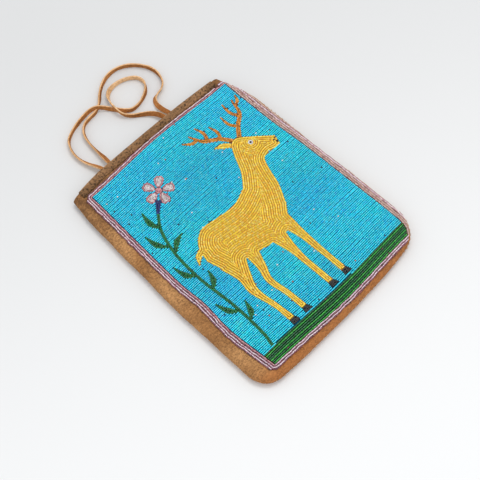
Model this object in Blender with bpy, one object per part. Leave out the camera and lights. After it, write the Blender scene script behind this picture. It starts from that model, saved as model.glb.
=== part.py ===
"""A flat hide bag with a fully beaded face, lying on its back.

Two hide panels meet along the sides and the bottom and leave a flat pocket that is open at
the top. A strip of darker hide is folded over each lip of the mouth. The front panel is
covered with rows of glass beads: a turquoise ground, a golden stag with amber antlers, a
flower on a stem, a strip of grass and a border of pink and wine rows. The beads of each
colour field are one piece with one ridge for every row or lane of beads. Two hide thongs come out
of the mouth as carrying loops, and a hide tab inside the bag holds each pair of their ends.

X runs across the bag, +Y points to the mouth and +Z points up out of the beaded face. The
origin is under the middle of the bag, on the surface that it lies on.
"""

import math

import bmesh
import bpy
import numpy as np

MM = 0.001

# Overall size of the bag, and the hide it is cut from
BAG_WIDTH = 232.0 * MM
BAG_LENGTH = 286.8 * MM
HIDE = 1.4 * MM
POCKET_GAP = 7.7 * MM
RIM_RADIUS = 6.0 * MM
CLEARANCE = 0.3 * MM

# How far each edge of the bag lies inside its overall size: (share of the edge, inset)
LEFT_INSET = ((0.0, 0.0), (0.42, 0.5 * MM), (0.63, 3.2 * MM), (0.84, 6.1 * MM), (1.0, 11.5 * MM))
RIGHT_INSET = (
    (0.0, 0.0),
    (0.35, 0.3 * MM),
    (0.5, 2.2 * MM),
    (0.76, 2.6 * MM),
    (0.87, 6.1 * MM),
    (1.0, 17.0 * MM),
)
BOTTOM_INSET = ((0.0, 1.5 * MM), (0.3, 0.0), (0.62, 0.8 * MM), (0.8, 3.6 * MM), (1.0, 8.0 * MM))
MOUTH_INSET = ((0.0, 6.5 * MM), (0.17, 1.1 * MM), (0.3, 0.0), (0.66, 1.2 * MM), (1.0, 6.0 * MM))
LEFT_CORNER = 24.0 * MM
RIGHT_CORNER = 30.0 * MM

# Mouth: a strip of hide folded over each lip, and the back panel lifted by the one under it
BINDING = 0.8 * MM
BINDING_WIDTH = 9.5 * MM
BINDING_END = 10.0 * MM
BINDING_STATIONS = 22
FOLD_CORNER = 0.6 * BINDING
FOLD_NOSE = 0.4 * BINDING
LIFT_LENGTH = 11.0 * MM

# Bead field: hide and border left around the turquoise ground on each side of the bag
LEFT_BAND = 25.9 * MM
RIGHT_BAND = 15.9 * MM
BOTTOM_BAND = 13.6 * MM
TOP_BAND = 18.2 * MM
LEFT_BULGE = ((0.0, 1.5 * MM), (0.2, 6.0 * MM), (0.36, 3.5 * MM), (0.52, 5.0 * MM), (1.0, 0.0))
RIGHT_BULGE = (
    (0.0, 0.0),
    (0.06, 6.5 * MM),
    (0.27, 6.0 * MM),
    (0.56, 4.2 * MM),
    (0.75, 1.2 * MM),
    (1.0, 0.0),
)
BEAD_MARGIN = 1.5 * MM

# The ground's rows bow outward towards the mouth and the foot, in the middle of the bag
MOUTH_BOW = 3.6 * MM
FOOT_BOW = 3.4 * MM
BOW_STATIONS = 9

# Beadwork: a row is one bead wide, with a ridge for each row of the ground
ROW = 1.9 * MM
GROUND_ROWS_PER_RIDGE = 1
BEAD_LAYER = 2.2 * MM
VALLEY = 0.9 * MM
BACKING = 0.5 * MM
LEFT_BORDER_ROWS = 4
RIGHT_BORDER_ROWS = 4
TOP_BORDER_ROWS = 2
BOTTOM_BORDER_ROWS = 2
EDGE_STATIONS = np.linspace(0.0, 1.0, 25)

# The beaded picture: its points are in hundredths of the turquoise ground's width and height
EYE_CENTRE = (82.9, 72.9)
EYE_RADIUS = 2.6 * MM
FLOWER_CENTRE = (27.4, 83.5)
FLOWER_HEART = 3.6 * MM
PETALS = 5
PETAL_LENGTH = 13.0 * MM
PETAL_WIDTH = 11.0 * MM
ANTLER_WIDTH = 5.0 * MM
TINE_WIDTH = 3.6 * MM
EAR_WIDTH = 6.5 * MM
TAIL_WIDTH = 8.0 * MM
HOOF_HEIGHT = 6.5 * MM
HOOF_HEEL = 1.0 * MM
HOOF_TOE = 2.5 * MM
BODY_LANES = 16
NECK_LANES = 9
LEG_LANES = 3
CALYX_WIDTH = 6.5 * MM
STEM_WIDTH = 2.8 * MM
LEAF_WIDTH = 6.4 * MM
GRASS_FOOT = 0.3 * MM
GRASS_MIDDLE = 8.5 * MM
GRASS_CROWN = 12.8 * MM
GRASS_WAVE = 1.4 * MM

# Thongs: flat strips of hide, stood for by a round tube of the same section
THONG = 3.6 * MM
THONG_STEP = 7.2 * MM
TAB_WALL = 1.0 * MM
TAB_FLANGE = 5.0 * MM
TAB_LENGTH = 11.0 * MM
TAB_INSIDE = 20.5 * MM

# Heights above the surface that the bag lies on
FACE_Z = 2.0 * HIDE + POCKET_GAP
SEAM_Z = FACE_Z / 2.0
BACK_LIFT = BINDING + CLEARANCE

# Edges of the turquoise ground
FIELD_X0 = -BAG_WIDTH / 2.0 + LEFT_BAND
FIELD_X1 = BAG_WIDTH / 2.0 - RIGHT_BAND
FIELD_Y0 = -BAG_LENGTH / 2.0 + BOTTOM_BAND
FIELD_Y1 = BAG_LENGTH / 2.0 - TOP_BAND

# The picture fills the turquoise ground
DRAWING_WIDTH = FIELD_X1 - FIELD_X0
DRAWING_HEIGHT = FIELD_Y1 - FIELD_Y0

# What stands on the grass ends just above its crown
STANDING_Y = FIELD_Y0 + GRASS_CROWN + GRASS_WAVE + CLEARANCE

# The thongs' routes, chosen by hand, from the left pair of ends to the right pair (mm)
THONG_ROUTES = {
    "thong_inner": (
        (-56.5, 116.0, 3.5), (-56.5, 125.0, 3.8), (-57.0, 134.0, 5.8), (-57.9, 143.5, 5.8),
        (-60.5, 152.0, 5.2), (-64.2, 162.0, 3.8), (-66.3, 174.0, 3.0), (-64.8, 185.0, 3.0),
        (-60.0, 194.5, 3.0), (-52.0, 200.0, 3.0), (-42.0, 203.6, 3.3), (-31.0, 205.4, 4.6),
        (-21.0, 205.6, 6.1), (-13.0, 203.4, 6.4), (-6.5, 198.6, 4.4), (-2.0, 193.2, 2.7),
        (2.5, 187.2, 2.4), (7.5, 180.6, 2.9), (14.0, 176.4, 3.0), (23.0, 176.4, 3.0),
        (33.5, 179.8, 3.0), (41.5, 185.2, 3.0), (45.8, 193.0, 3.0), (44.2, 201.6, 3.0),
        (36.0, 208.4, 3.0), (25.5, 211.8, 3.0), (14.5, 211.6, 3.0), (6.8, 207.0, 3.2),
        (3.0, 199.8, 4.8), (0.9, 192.0, 6.6), (0.6, 184.6, 5.9), (2.6, 177.4, 4.1),
        (8.0, 170.9, 3.1), (15.5, 165.4, 3.0), (22.6, 159.2, 3.8), (27.2, 151.8, 5.0),
        (29.3, 143.5, 5.8), (30.2, 134.0, 5.8), (30.4, 125.0, 3.8), (30.4, 116.0, 3.5),
    ),
    "thong_outer": (
        (-50.0, 116.0, 3.5), (-50.0, 125.0, 3.8), (-49.3, 134.0, 5.8), (-48.7, 143.5, 5.8),
        (-47.8, 153.0, 5.0), (-47.1, 165.0, 3.6), (-46.3, 176.0, 3.0), (-44.2, 186.0, 3.0),
        (-39.8, 194.2, 3.0), (-33.0, 199.0, 2.9), (-24.5, 200.6, 2.5), (-16.0, 201.6, 2.2),
        (-9.0, 204.8, 2.3), (-2.5, 210.0, 2.8), (4.0, 216.0, 3.0), (12.0, 221.6, 3.0),
        (22.0, 225.4, 3.0), (32.5, 226.2, 3.0), (42.8, 223.2, 3.0), (51.6, 217.0, 3.0),
        (58.6, 208.6, 3.0), (62.8, 199.2, 3.0), (63.4, 188.6, 3.0), (60.2, 179.4, 3.0),
        (53.6, 173.8, 3.0), (46.0, 171.6, 3.0), (39.6, 169.4, 3.0), (35.6, 162.6, 3.4),
        (35.0, 152.6, 4.9), (36.6, 143.5, 5.8), (37.0, 134.0, 5.8), (36.4, 125.0, 3.8),
        (36.4, 116.0, 3.5),
    ),
}
THONG_PAIRS = {"thong_tab_left": (-56.5, -50.0), "thong_tab_right": (30.4, 36.4)}

# Colours as base colour, roughness
MATERIALS = {
    "tan_hide": ((0.29, 0.155, 0.062), 0.9),
    "brown_hide": ((0.155, 0.08, 0.034), 0.9),
    "thong_hide": ((0.52, 0.27, 0.115), 0.8),
    "turquoise_beads": ((0.045, 0.49, 0.64), 0.2),
    "gold_beads": ((0.76, 0.46, 0.045), 0.2),
    "amber_beads": ((0.5, 0.17, 0.012), 0.2),
    "black_beads": ((0.012, 0.012, 0.014), 0.15),
    "pink_beads": ((0.6, 0.33, 0.37), 0.2),
    "petal_beads": ((0.46, 0.35, 0.38), 0.2),
    "navy_beads": ((0.01, 0.025, 0.12), 0.15),
    "green_beads": ((0.012, 0.115, 0.03), 0.2),
    "leaf_beads": ((0.05, 0.3, 0.04), 0.2),
}


def clear_scene():
    for item in list(bpy.data.objects):
        bpy.data.objects.remove(item, do_unlink=True)


def material(name):
    """The named material, made once."""
    found = bpy.data.materials.get(name)
    if found:
        return found
    colour, roughness = MATERIALS[name]
    made = bpy.data.materials.new(name)
    made.use_nodes = True
    shader = made.node_tree.nodes["Principled BSDF"]
    shader.inputs["Base Color"].default_value = (*colour, 1.0)
    shader.inputs["Roughness"].default_value = roughness
    shader.inputs["Metallic"].default_value = 0.0
    made.diffuse_color = (*colour, 1.0)
    return made


def add_object(name, mesh, colour):
    made = bpy.data.objects.new(name, mesh)
    bpy.context.scene.collection.objects.link(made)
    made.data.materials.append(material(colour))
    return made


def mesh_of(name, bm):
    """A mesh from bmesh data, with its faces turned outward."""
    bmesh.ops.recalc_face_normals(bm, faces=bm.faces)
    mesh = bpy.data.meshes.new(name)
    bm.to_mesh(mesh)
    bm.free()
    return mesh


def smooth_curve(points, steps):
    """A Catmull-Rom curve through the points, with so many steps in each span."""
    p = np.array(points, float)
    ends = np.vstack([2.0 * p[0] - p[1], p, 2.0 * p[-1] - p[-2]])
    out = []
    for i in range(len(p) - 1):
        a, b, c, d = ends[i : i + 4]
        for t in np.arange(steps) / steps:
            out.append(
                0.5 * (2.0 * b + (c - a) * t + (2.0 * a - 5.0 * b + 4.0 * c - d) * t**2
                       + (3.0 * b - a - 3.0 * c + d) * t**3)
            )
    out.append(p[-1])
    return np.array(out)


def along(points, share):
    """The value of a smooth (share, value) curve at one share or several."""
    line = smooth_curve(points, 8)
    return np.interp(share, line[:, 0], line[:, 1])


def rounding(distance, radius):
    """How far a round corner pulls an edge in, at a distance from the corner's tip."""
    inside = np.clip(radius - np.maximum(distance, 0.0), 0.0, radius)
    return radius - np.sqrt(radius**2 - inside**2)


def offset_loop(points, distance):
    """A closed outline moved outward by a distance, or inward if it is negative."""
    p = np.asarray(points, float)
    following = np.roll(p, -1, axis=0)
    area = np.sum(p[:, 0] * following[:, 1] - following[:, 0] * p[:, 1])
    edge = following - p
    edge /= np.linalg.norm(edge, axis=1)[:, None]
    normal = np.stack([edge[:, 1], -edge[:, 0]], axis=1) * (1.0 if area > 0.0 else -1.0)
    before = np.roll(normal, 1, axis=0)
    bisector = before + normal
    reach = 1.0 + np.sum(before * normal, axis=1)
    return p + distance * bisector / np.maximum(reach, 0.4)[:, None]


# Outline of the bag


def left_edge(y):
    share = (y + BAG_LENGTH / 2.0) / BAG_LENGTH
    corner = rounding(y + BAG_LENGTH / 2.0 - BOTTOM_INSET[0][1], LEFT_CORNER)
    return -BAG_WIDTH / 2.0 + along(LEFT_INSET, share) + corner


def right_edge(y):
    share = (y + BAG_LENGTH / 2.0) / BAG_LENGTH
    corner = rounding(y + BAG_LENGTH / 2.0 - BOTTOM_INSET[-1][1], RIGHT_CORNER)
    return BAG_WIDTH / 2.0 - along(RIGHT_INSET, share) - corner


def bottom_edge(x):
    share = (x + BAG_WIDTH / 2.0) / BAG_WIDTH
    corners = rounding(x + BAG_WIDTH / 2.0, LEFT_CORNER) + rounding(BAG_WIDTH / 2.0 - x, RIGHT_CORNER)
    return -BAG_LENGTH / 2.0 + along(BOTTOM_INSET, share) + corners


def mouth_edge(x):
    return BAG_LENGTH / 2.0 - along(MOUTH_INSET, (x + BAG_WIDTH / 2.0) / BAG_WIDTH)


def lip_edge(x):
    """The panels' own edge at the mouth, under the folded strip."""
    return mouth_edge(x) - BINDING - CLEARANCE


def panel_grid(across, up, inset):
    """Points of a panel: across and up are shares of its width and length.

    The four edges are blended into one grid whose lower corners lie half way round the
    rounded corners of the bag. Inset shrinks the sides and the bottom, not the mouth.
    """
    half_turn = 1.0 - math.sqrt(0.5)
    x_left = -BAG_WIDTH / 2.0 + half_turn * LEFT_CORNER
    x_right = BAG_WIDTH / 2.0 - half_turn * RIGHT_CORNER
    low_left = np.array([x_left, bottom_edge(x_left)])
    low_right = np.array([x_right, bottom_edge(x_right)])
    top_y = BAG_LENGTH / 2.0 - MOUTH_INSET[0][1]
    top_left = np.array([left_edge(top_y), lip_edge(left_edge(top_y))])
    top_right = np.array([right_edge(top_y), lip_edge(right_edge(top_y))])

    bottom_x = x_left + (x_right - x_left) * across
    bottom = np.stack([bottom_x, bottom_edge(bottom_x)], axis=1)
    mouth_x = top_left[0] + (top_right[0] - top_left[0]) * across
    mouth = np.stack([mouth_x, lip_edge(mouth_x)], axis=1)
    left_y = low_left[1] + (top_left[1] - low_left[1]) * up
    left = np.stack([left_edge(left_y), left_y], axis=1)
    right_y = low_right[1] + (top_right[1] - low_right[1]) * up
    right = np.stack([right_edge(right_y), right_y], axis=1)
    left[0], right[0] = low_left, low_right

    loop = np.vstack([left[::-1], bottom[1:-1], right])
    if inset:
        loop = inset_open(loop, inset)
        left = loop[: len(left)][::-1]
        bottom = loop[len(left) - 1 : len(left) + len(bottom) - 1]
        right = loop[len(left) + len(bottom) - 2 :]
        mouth[:, 0] = np.interp(mouth[:, 0], (mouth[0, 0], mouth[-1, 0]), (left[-1, 0], right[-1, 0]))
        mouth[:, 1] = lip_edge(mouth[:, 0])
        left[-1], right[-1] = mouth[0], mouth[-1]

    s, t = across[:, None, None], up[None, :, None]
    blend = (1.0 - t) * bottom[:, None] + t * mouth[:, None] + (1.0 - s) * left[None] + s * right[None]
    corners = (1.0 - s) * (1.0 - t) * bottom[0] + s * (1.0 - t) * bottom[-1]
    return blend - corners - (1.0 - s) * t * mouth[0] - s * t * mouth[-1]


def inset_open(line, distance):
    """The line round the sides and the bottom, moved into the bag by a distance."""
    direction = np.gradient(line, axis=0)
    direction /= np.linalg.norm(direction, axis=1)[:, None]
    inward = np.stack([-direction[:, 1], direction[:, 0]], axis=1)
    inward[[0, -1]] = ((1.0, 0.0), (-1.0, 0.0))
    return line + distance * inward


def seam_line():
    """The seam round the sides and the bottom, as a fine line of points."""
    fine = np.linspace(0.0, 1.0, 90)
    grid = panel_grid(fine, fine, 0.0)
    return np.vstack([grid[0, ::-1], grid[1:-1, 0], grid[-1]])


def distance_to(line, points):
    """The distance from each point to a line of points."""
    start, step = line[:-1], np.diff(line, axis=0)
    flat = points.reshape(-1, 2)
    offset = flat[:, None] - start[None]
    share = np.clip(np.sum(offset * step, axis=2) / np.sum(step * step, axis=1), 0.0, 1.0)
    gap = offset - share[..., None] * step
    return np.sqrt(np.min(np.sum(gap * gap, axis=2), axis=1)).reshape(points.shape[:-1])


SEAM = seam_line()


def mouth_lift(points):
    """The share of its lift that the back has, from 0 in the bag to 1 at the folded strip."""
    to_strip = mouth_edge(points[..., 0]) - BINDING_WIDTH - points[..., 1]
    share = np.clip(1.0 - to_strip / LIFT_LENGTH, 0.0, 1.0)
    return share * share * (3.0 - 2.0 * share)


def rim_height(distance, radius):
    """The share of its full height that a rounded rim has reached."""
    inside = np.clip(1.0 - distance / radius, 0.0, 1.0)
    return np.sqrt(1.0 - inside * inside)


def front_z(points, depth=0.0):
    """Height of the front panel's outer face, or of a face so far below it."""
    rim = rim_height(distance_to(SEAM, points) - depth, RIM_RADIUS - depth)
    base = SEAM_Z + CLEARANCE / 2.0
    return base + (FACE_Z - depth - base) * rim


def back_z(points, depth=0.0):
    """Height of the back panel's outer face, or of a face so far above it."""
    rim = rim_height(distance_to(SEAM, points) - depth, RIM_RADIUS - depth)
    base = SEAM_Z - CLEARANCE / 2.0
    return base - (base - depth) * rim + BACK_LIFT * mouth_lift(points) * rim


def panel_shares():
    """Grid lines of a panel, close together where its rim is rounded."""
    turn = 1.0 - np.cos(np.radians((0.0, 25.0, 50.0, 90.0)))
    side = RIM_RADIUS / BAG_WIDTH * turn
    across = np.concatenate([side, np.linspace(side[-1], 1.0 - side[-1], 12)[1:-1], 1.0 - side[::-1]])
    low = RIM_RADIUS / BAG_LENGTH * turn
    strip = 1.0 - BINDING_WIDTH / BAG_LENGTH
    lip = strip - LIFT_LENGTH / BAG_LENGTH * np.array((1.0, 0.66, 0.33, 0.0))
    up = np.concatenate([low, np.linspace(low[-1], lip[0], 14)[1:-1], lip, [1.0]])
    return across, up


def panel(name, height):
    """A hide panel with a rolled rim, open along the mouth."""
    across, up = panel_shares()
    outer = panel_grid(across, up, 0.0)
    inner = panel_grid(across, up, HIDE)
    faces = []
    for grid, depth in ((outer, 0.0), (inner, HIDE)):
        z = height(grid, depth)
        rim = height(SEAM[:1], depth)[0]
        z[0], z[-1], z[:, 0] = rim, rim, rim
        faces.append(np.dstack([grid, z]))
    bm = bmesh.new()
    close_layers(bm, [[[bm.verts.new(p) for p in row] for row in layer] for layer in faces])
    bmesh.ops.triangulate(bm, faces=bm.faces)
    made = add_object(name, mesh_of(name, bm), "tan_hide")
    shade(made)
    return made


def close_layers(bm, layers):
    """Faces over two matching grids of vertices, and a wall between their rims."""
    columns, rows = len(layers[0]), len(layers[0][0])
    for layer in layers:
        for i in range(columns - 1):
            for j in range(rows - 1):
                bm.faces.new((layer[i][j], layer[i + 1][j], layer[i + 1][j + 1], layer[i][j + 1]))
    first, second = (rim_loop(layer) for layer in layers)
    for i in range(len(first)):
        following = (i + 1) % len(first)
        bm.faces.new((first[i], first[following], second[following], second[i]))


def rim_loop(layer):
    """The outer vertices of a grid, once round."""
    columns, rows = len(layer), len(layer[0])
    loop = [layer[i][0] for i in range(columns)]
    loop += [layer[-1][j] for j in range(1, rows)]
    loop += [layer[i][-1] for i in range(columns - 2, -1, -1)]
    loop += [layer[0][j] for j in range(rows - 2, 0, -1)]
    return loop


def shade(made, angle=40.0):
    made.data.shade_smooth()
    made.data.set_sharp_from_angle(angle=math.radians(angle))


def binding(name, height, side):
    """A strip of hide folded over one lip of the mouth, from near one rim to the other.

    Side is 1 for the front panel, whose outer face looks up, and -1 for the back panel.
    """
    x0 = left_edge(BAG_LENGTH / 2.0 - BINDING_WIDTH) + BINDING_END
    x1 = right_edge(BAG_LENGTH / 2.0 - BINDING_WIDTH) - BINDING_END
    bm = bmesh.new()
    outer, inner = [], []
    for x in np.linspace(x0, x1, BINDING_STATIONS):
        lip = mouth_edge(x)
        legs = lip_edge(x) - (BINDING_WIDTH - BINDING - CLEARANCE) * np.array((1.0, 0.5, 0.0))
        points = np.stack([np.full(3, x), legs], axis=1)
        outside = height(points) + side * CLEARANCE
        inside = height(points, HIDE) - side * CLEARANCE
        fold = (
            (lip - BINDING / 2.0, outside[-1] + side * FOLD_CORNER),
            (lip, outside[-1] - side * FOLD_NOSE),
            (lip, inside[-1] + side * FOLD_NOSE),
            (lip - BINDING / 2.0, inside[-1] - side * FOLD_CORNER),
        )
        turn = [(lip - BINDING, z) for z in np.linspace(outside[-1], inside[-1], 4)]
        outer.append([*zip(legs, outside + side * BINDING), *fold,
                      *zip(legs[::-1], inside[::-1] - side * BINDING)])
        inner.append([*zip(legs, outside), *turn, *zip(legs[::-1], inside[::-1])])
        for layer in (outer, inner):
            layer[-1] = [bm.verts.new((x, y, z)) for y, z in layer[-1]]
    close_layers(bm, (outer, inner))
    bmesh.ops.triangulate(bm, faces=bm.faces)
    made = add_object(name, mesh_of(name, bm), "brown_hide")
    shade(made)
    return made


def loft(bm, sections):
    """Walls between matching closed sections, with a cap on each end."""
    for first, second in zip(sections, sections[1:]):
        for i in range(len(first)):
            following = (i + 1) % len(first)
            bm.faces.new((first[i], first[following], second[following], second[i]))
    bm.faces.new(sections[0])
    bm.faces.new(sections[-1][::-1])
    bmesh.ops.triangulate(bm, faces=bm.faces)


# Beadwork


def field_left(y):
    share = (y - FIELD_Y0) / (FIELD_Y1 - FIELD_Y0)
    return FIELD_X0 - np.interp(share, EDGE_STATIONS, along(LEFT_BULGE, EDGE_STATIONS))


def field_right(y):
    share = (y - FIELD_Y0) / (FIELD_Y1 - FIELD_Y0)
    return FIELD_X1 + np.interp(share, EDGE_STATIONS, along(RIGHT_BULGE, EDGE_STATIONS))


def bow(x):
    """The share of its bow that a row has, from 0 at the ground's sides to 1 in the middle."""
    share = np.clip((x - FIELD_X0) / (FIELD_X1 - FIELD_X0), 0.0, 1.0)
    return np.sin(math.pi * share) ** 2


def ground_foot(x):
    return FIELD_Y0 - FOOT_BOW * bow(x)


def ground_top(x):
    return FIELD_Y1 + MOUTH_BOW * bow(x)


def on_field(points):
    """Points in hundredths of the turquoise ground's width and height, placed on it."""
    shares = np.asarray(points, float) / 100.0
    return shares * (DRAWING_WIDTH, DRAWING_HEIGHT) + (FIELD_X0, FIELD_Y0)


def disc(centre, radius):
    """The two halves of a round field's outline."""
    turns = np.radians(np.arange(-90.0, 270.0, 45.0))
    loop = centre + radius * np.stack([np.cos(turns), np.sin(turns)], axis=1)
    return loop[:4], loop[:3:-1]


def ridge_solid(name, grid, hide, lift, colour):
    """A bead field: the grid's odd lines are ridges, its even lines the valleys between.

    Hide is the height of the hide under each point, and lift that of the field's underside
    above the hide. A field on flat hide gets one face for its underside.
    """
    level = np.full(grid.shape[1], BEAD_LAYER - VALLEY)
    level[1::2] = BEAD_LAYER
    bm = bmesh.new()
    top = grid_verts(bm, grid, hide + CLEARANCE + level[None])
    low = grid_verts(bm, grid, hide + lift)
    close_layers(bm, (top, low))
    if np.ptp(hide) == 0.0:
        underside = {v for row in low for v in row}
        flat = [f for f in bm.faces if underside.issuperset(f.verts)]
        bmesh.ops.dissolve_faces(bm, faces=flat, use_verts=False)
        bmesh.ops.triangulate(bm, faces=bm.faces)
    return add_object(name, mesh_of(name, bm), colour)


def flat_face(grid):
    """The height of the front panel's flat middle, for each point of a grid."""
    return np.full(grid.shape[:2], FACE_Z)


def grid_verts(bm, grid, heights):
    return [[bm.verts.new((*p, z)) for p, z in zip(row, zs)] for row, zs in zip(grid, heights)]


class Picture:
    """The bead fields that are let into the turquoise ground."""

    def __init__(self):
        self.pockets = bpy.data.collections.new("pockets")
        bpy.context.scene.collection.children.link(self.pockets)
        self.cutters = {}

    def pocket(self, name, loop):
        """A prism over an outline, which clears room for the field in what it is set in."""
        bm = bmesh.new()
        low = FACE_Z + CLEARANCE + BACKING
        high = FACE_Z + 2.0 * BEAD_LAYER
        wide = offset_loop(loop, CLEARANCE / 2.0)
        sections = [[bm.verts.new((*p, z)) for p in wide] for z in (low, high)]
        loft(bm, sections)
        made = bpy.data.objects.new(f"{name}_pocket", mesh_of(f"{name}_pocket", bm))
        self.pockets.objects.link(made)
        made.hide_render = True
        made.display_type = "WIRE"
        self.cutters[name] = made

    def add(self, name, side_a, side_b, lanes, colour, around=()):
        """A field between two sides of equal length, less the room of the fields around it."""
        count = len(side_a)
        loop = np.vstack([side_a, side_b[::-1]])
        self.pocket(name, loop)
        tight = offset_loop(loop, -CLEARANCE / 2.0)
        share = np.linspace(0.0, 1.0, 2 * lanes + 1)[None, :, None]
        grid = tight[:count, None] * (1.0 - share) + tight[count:][::-1, None] * share
        made = ridge_solid(name, grid, flat_face(grid), 2.0 * CLEARANCE + BACKING, colour)
        for other in around:
            self.cut(made, self.cutters[other])
        return made

    def stroke(self, name, path, widths, lanes, colour, around=(), steps=3):
        """A field that follows a line, with a width at each of the line's points."""
        side_a, side_b = stroke_sides(path, widths, steps)
        return self.add(name, side_a, side_b, lanes, colour, around)

    @staticmethod
    def cut(made, cutter):
        change = made.modifiers.new(f"room_for_{cutter.name}", "BOOLEAN")
        change.operation = "DIFFERENCE"
        change.solver = "EXACT"
        change.object = cutter


def stroke_sides(path, widths, steps):
    line = smooth_curve(path, steps)
    spots = np.arange(len(line)) / steps
    half = np.interp(spots, np.arange(len(widths)), widths) / 2.0
    direction = np.gradient(line, axis=0)
    direction /= np.linalg.norm(direction, axis=1)[:, None]
    side = np.stack([-direction[:, 1], direction[:, 0]], axis=1) * half[:, None]
    return line + side, line - side


def add_grass(picture):
    """Two strips of grass along the foot of the picture, from edge to edge."""
    share = np.linspace(0.0, 1.0, 9)
    waves = {
        "foot": np.full(9, GRASS_FOOT),
        "middle": GRASS_MIDDLE + GRASS_WAVE * np.sin(2.0 * math.pi * (share + 0.1)),
        "crown": GRASS_CROWN + GRASS_WAVE * np.sin(2.0 * math.pi * (share + 0.15)),
    }
    edges = {}
    for key, height in waves.items():
        y = FIELD_Y0 + height
        left, right = field_left(y) + CLEARANCE, field_right(y) - CLEARANCE
        x = left + (right - left) * share
        edges[key] = np.stack([x, ground_foot(x) + height if key == "foot" else y], axis=1)
    picture.add("grass_dark", edges["foot"], edges["middle"], 3, "green_beads")
    picture.add("grass_bright", edges["middle"], edges["crown"], 1, "leaf_beads")


def add_stag(picture):
    """A stag that stands on the grass and looks to the right."""
    back = on_field(((15.8, 47.8), (18.9, 54.9), (26.8, 59.2), (37.4, 58.4), (48.9, 57.6), (60.0, 60.4)))
    belly = on_field(((18.4, 40.4), (26.3, 38.0), (35.8, 37.3), (46.3, 35.3), (57.9, 34.9), (70.0, 43.9)))
    picture.add("stag_body", smooth_curve(back, 3), smooth_curve(belly, 3), BODY_LANES, "gold_beads")
    picture.add("stag_eye", *disc(on_field(EYE_CENTRE), EYE_RADIUS), 1, "black_beads")

    crest = on_field(((58.9, 59.6), (65.8, 65.9), (70.5, 72.9), (74.2, 77.3), (78.9, 78.4), (85.3, 74.9),
                      (91.1, 71.0), (95.3, 68.2)))
    throat = on_field(((68.9, 43.1), (74.7, 51.0), (77.9, 58.4), (80.5, 63.1), (83.2, 64.3), (86.3, 64.7),
                       (90.0, 63.9), (93.7, 63.9)))
    sides = smooth_curve(crest, 2), smooth_curve(throat, 2)
    picture.add("stag_neck_and_head", *sides, NECK_LANES, "gold_beads", ("stag_body", "stag_eye"))

    picture.stroke("stag_ear", on_field(((74.2, 77.3), (70.5, 79.6), (65.8, 81.2))),
                   EAR_WIDTH * np.array([0.85, 1.0, 0.15]), 1, "gold_beads", ("stag_neck_and_head",))
    picture.stroke("stag_tail", on_field(((18.4, 52.2), (14.7, 51.4), (11.6, 48.6))),
                   TAIL_WIDTH * np.array([1.0, 0.8, 0.2]), 1, "gold_beads", ("stag_body",))

    # The rear and the front of each leg from the body down, and where both end across at its hoof
    legs = {
        "hind_leg_near": (
            ((17.4, 41.6), (19.5, 33.7), (18.4, 26.7), (21.1, 16.5)),
            ((31.6, 38.4), (26.8, 32.2), (23.2, 25.5), (24.2, 16.5)),
            (21.6, 25.3),
        ),
        "hind_leg_far": (
            ((31.8, 38.4), (31.1, 31.4), (28.9, 25.1), (30.5, 16.5)),
            ((39.5, 37.6), (35.8, 30.6), (32.6, 24.7), (33.7, 16.5)),
            (30.8, 34.2),
        ),
        "fore_leg_near": (
            ((47.4, 36.1), (49.5, 28.2), (50.0, 21.6), (50.3, 15.7)),
            ((56.8, 35.7), (54.7, 28.2), (53.7, 21.6), (53.7, 15.7)),
            (50.5, 53.9),
        ),
        "fore_leg_far": (
            ((57.9, 35.7), (59.5, 29.0), (60.0, 21.6), (60.3, 15.7)),
            ((67.4, 39.2), (64.2, 29.8), (63.7, 21.6), (63.7, 15.7)),
            (60.5, 63.9),
        ),
    }
    for name, (rear, front, ankle) in legs.items():
        ankle_y = STANDING_Y + HOOF_HEIGHT
        ends = np.array([(FIELD_X0 + DRAWING_WIDTH * across / 100.0, ankle_y) for across in ankle])
        rear = smooth_curve(np.vstack([on_field(rear), ends[0]]), 2)
        front = smooth_curve(np.vstack([on_field(front), ends[1]]), 2)
        picture.add(name, rear, front, LEG_LANES, "gold_beads", ("stag_body",))
        heel = ends[0] - (HOOF_HEEL, HOOF_HEIGHT)
        toe = ends[1] + (HOOF_TOE, -HOOF_HEIGHT)
        hoof = np.stack([ends[0], heel]), np.stack([ends[1], toe])
        picture.add(name.replace("leg", "hoof"), *hoof, 2, "black_beads")


def add_antlers(picture):
    """Two spreading antlers, each a beam with three tines grown into it."""
    antlers = {
        "antler_left": (
            ((77.6, 77.3), (72.6, 82.7), (65.3, 86.7), (61.6, 92.5)),
            (((73.2, 82.4), (74.7, 85.9), (73.7, 89.8)), ((67.4, 85.5), (68.9, 89.4), (67.4, 93.7)),
             ((63.7, 88.6), (59.5, 89.4), (55.8, 91.8))),
        ),
        "antler_right": (
            ((80.3, 77.3), (85.8, 82.0), (92.1, 85.9), (94.7, 92.5)),
            (((85.3, 81.6), (82.6, 85.1), (82.6, 89.8)), ((90.5, 84.7), (88.4, 88.6), (88.9, 93.7)),
             ((93.7, 89.4), (96.8, 90.6), (98.4, 93.3))),
        ),
    }
    for name, (beam, tines) in antlers.items():
        made = picture.stroke(name, on_field(beam), ANTLER_WIDTH * np.array([1.0, 0.92, 0.84, 0.36]), 1,
                              "amber_beads", ("stag_neck_and_head", "stag_ear"))
        for number, tine in enumerate(tines):
            spur_name = f"{name}_tine_{number}"
            spur = picture.stroke(spur_name, on_field(tine), TINE_WIDTH * np.array([1.0, 0.94, 0.44]), 1,
                                  "amber_beads", steps=2)
            spur.hide_render = True
            spur.display_type = "WIRE"
            change = made.modifiers.new(spur_name, "BOOLEAN")
            change.operation = "UNION"
            change.solver = "EXACT"
            change.object = spur


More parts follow.
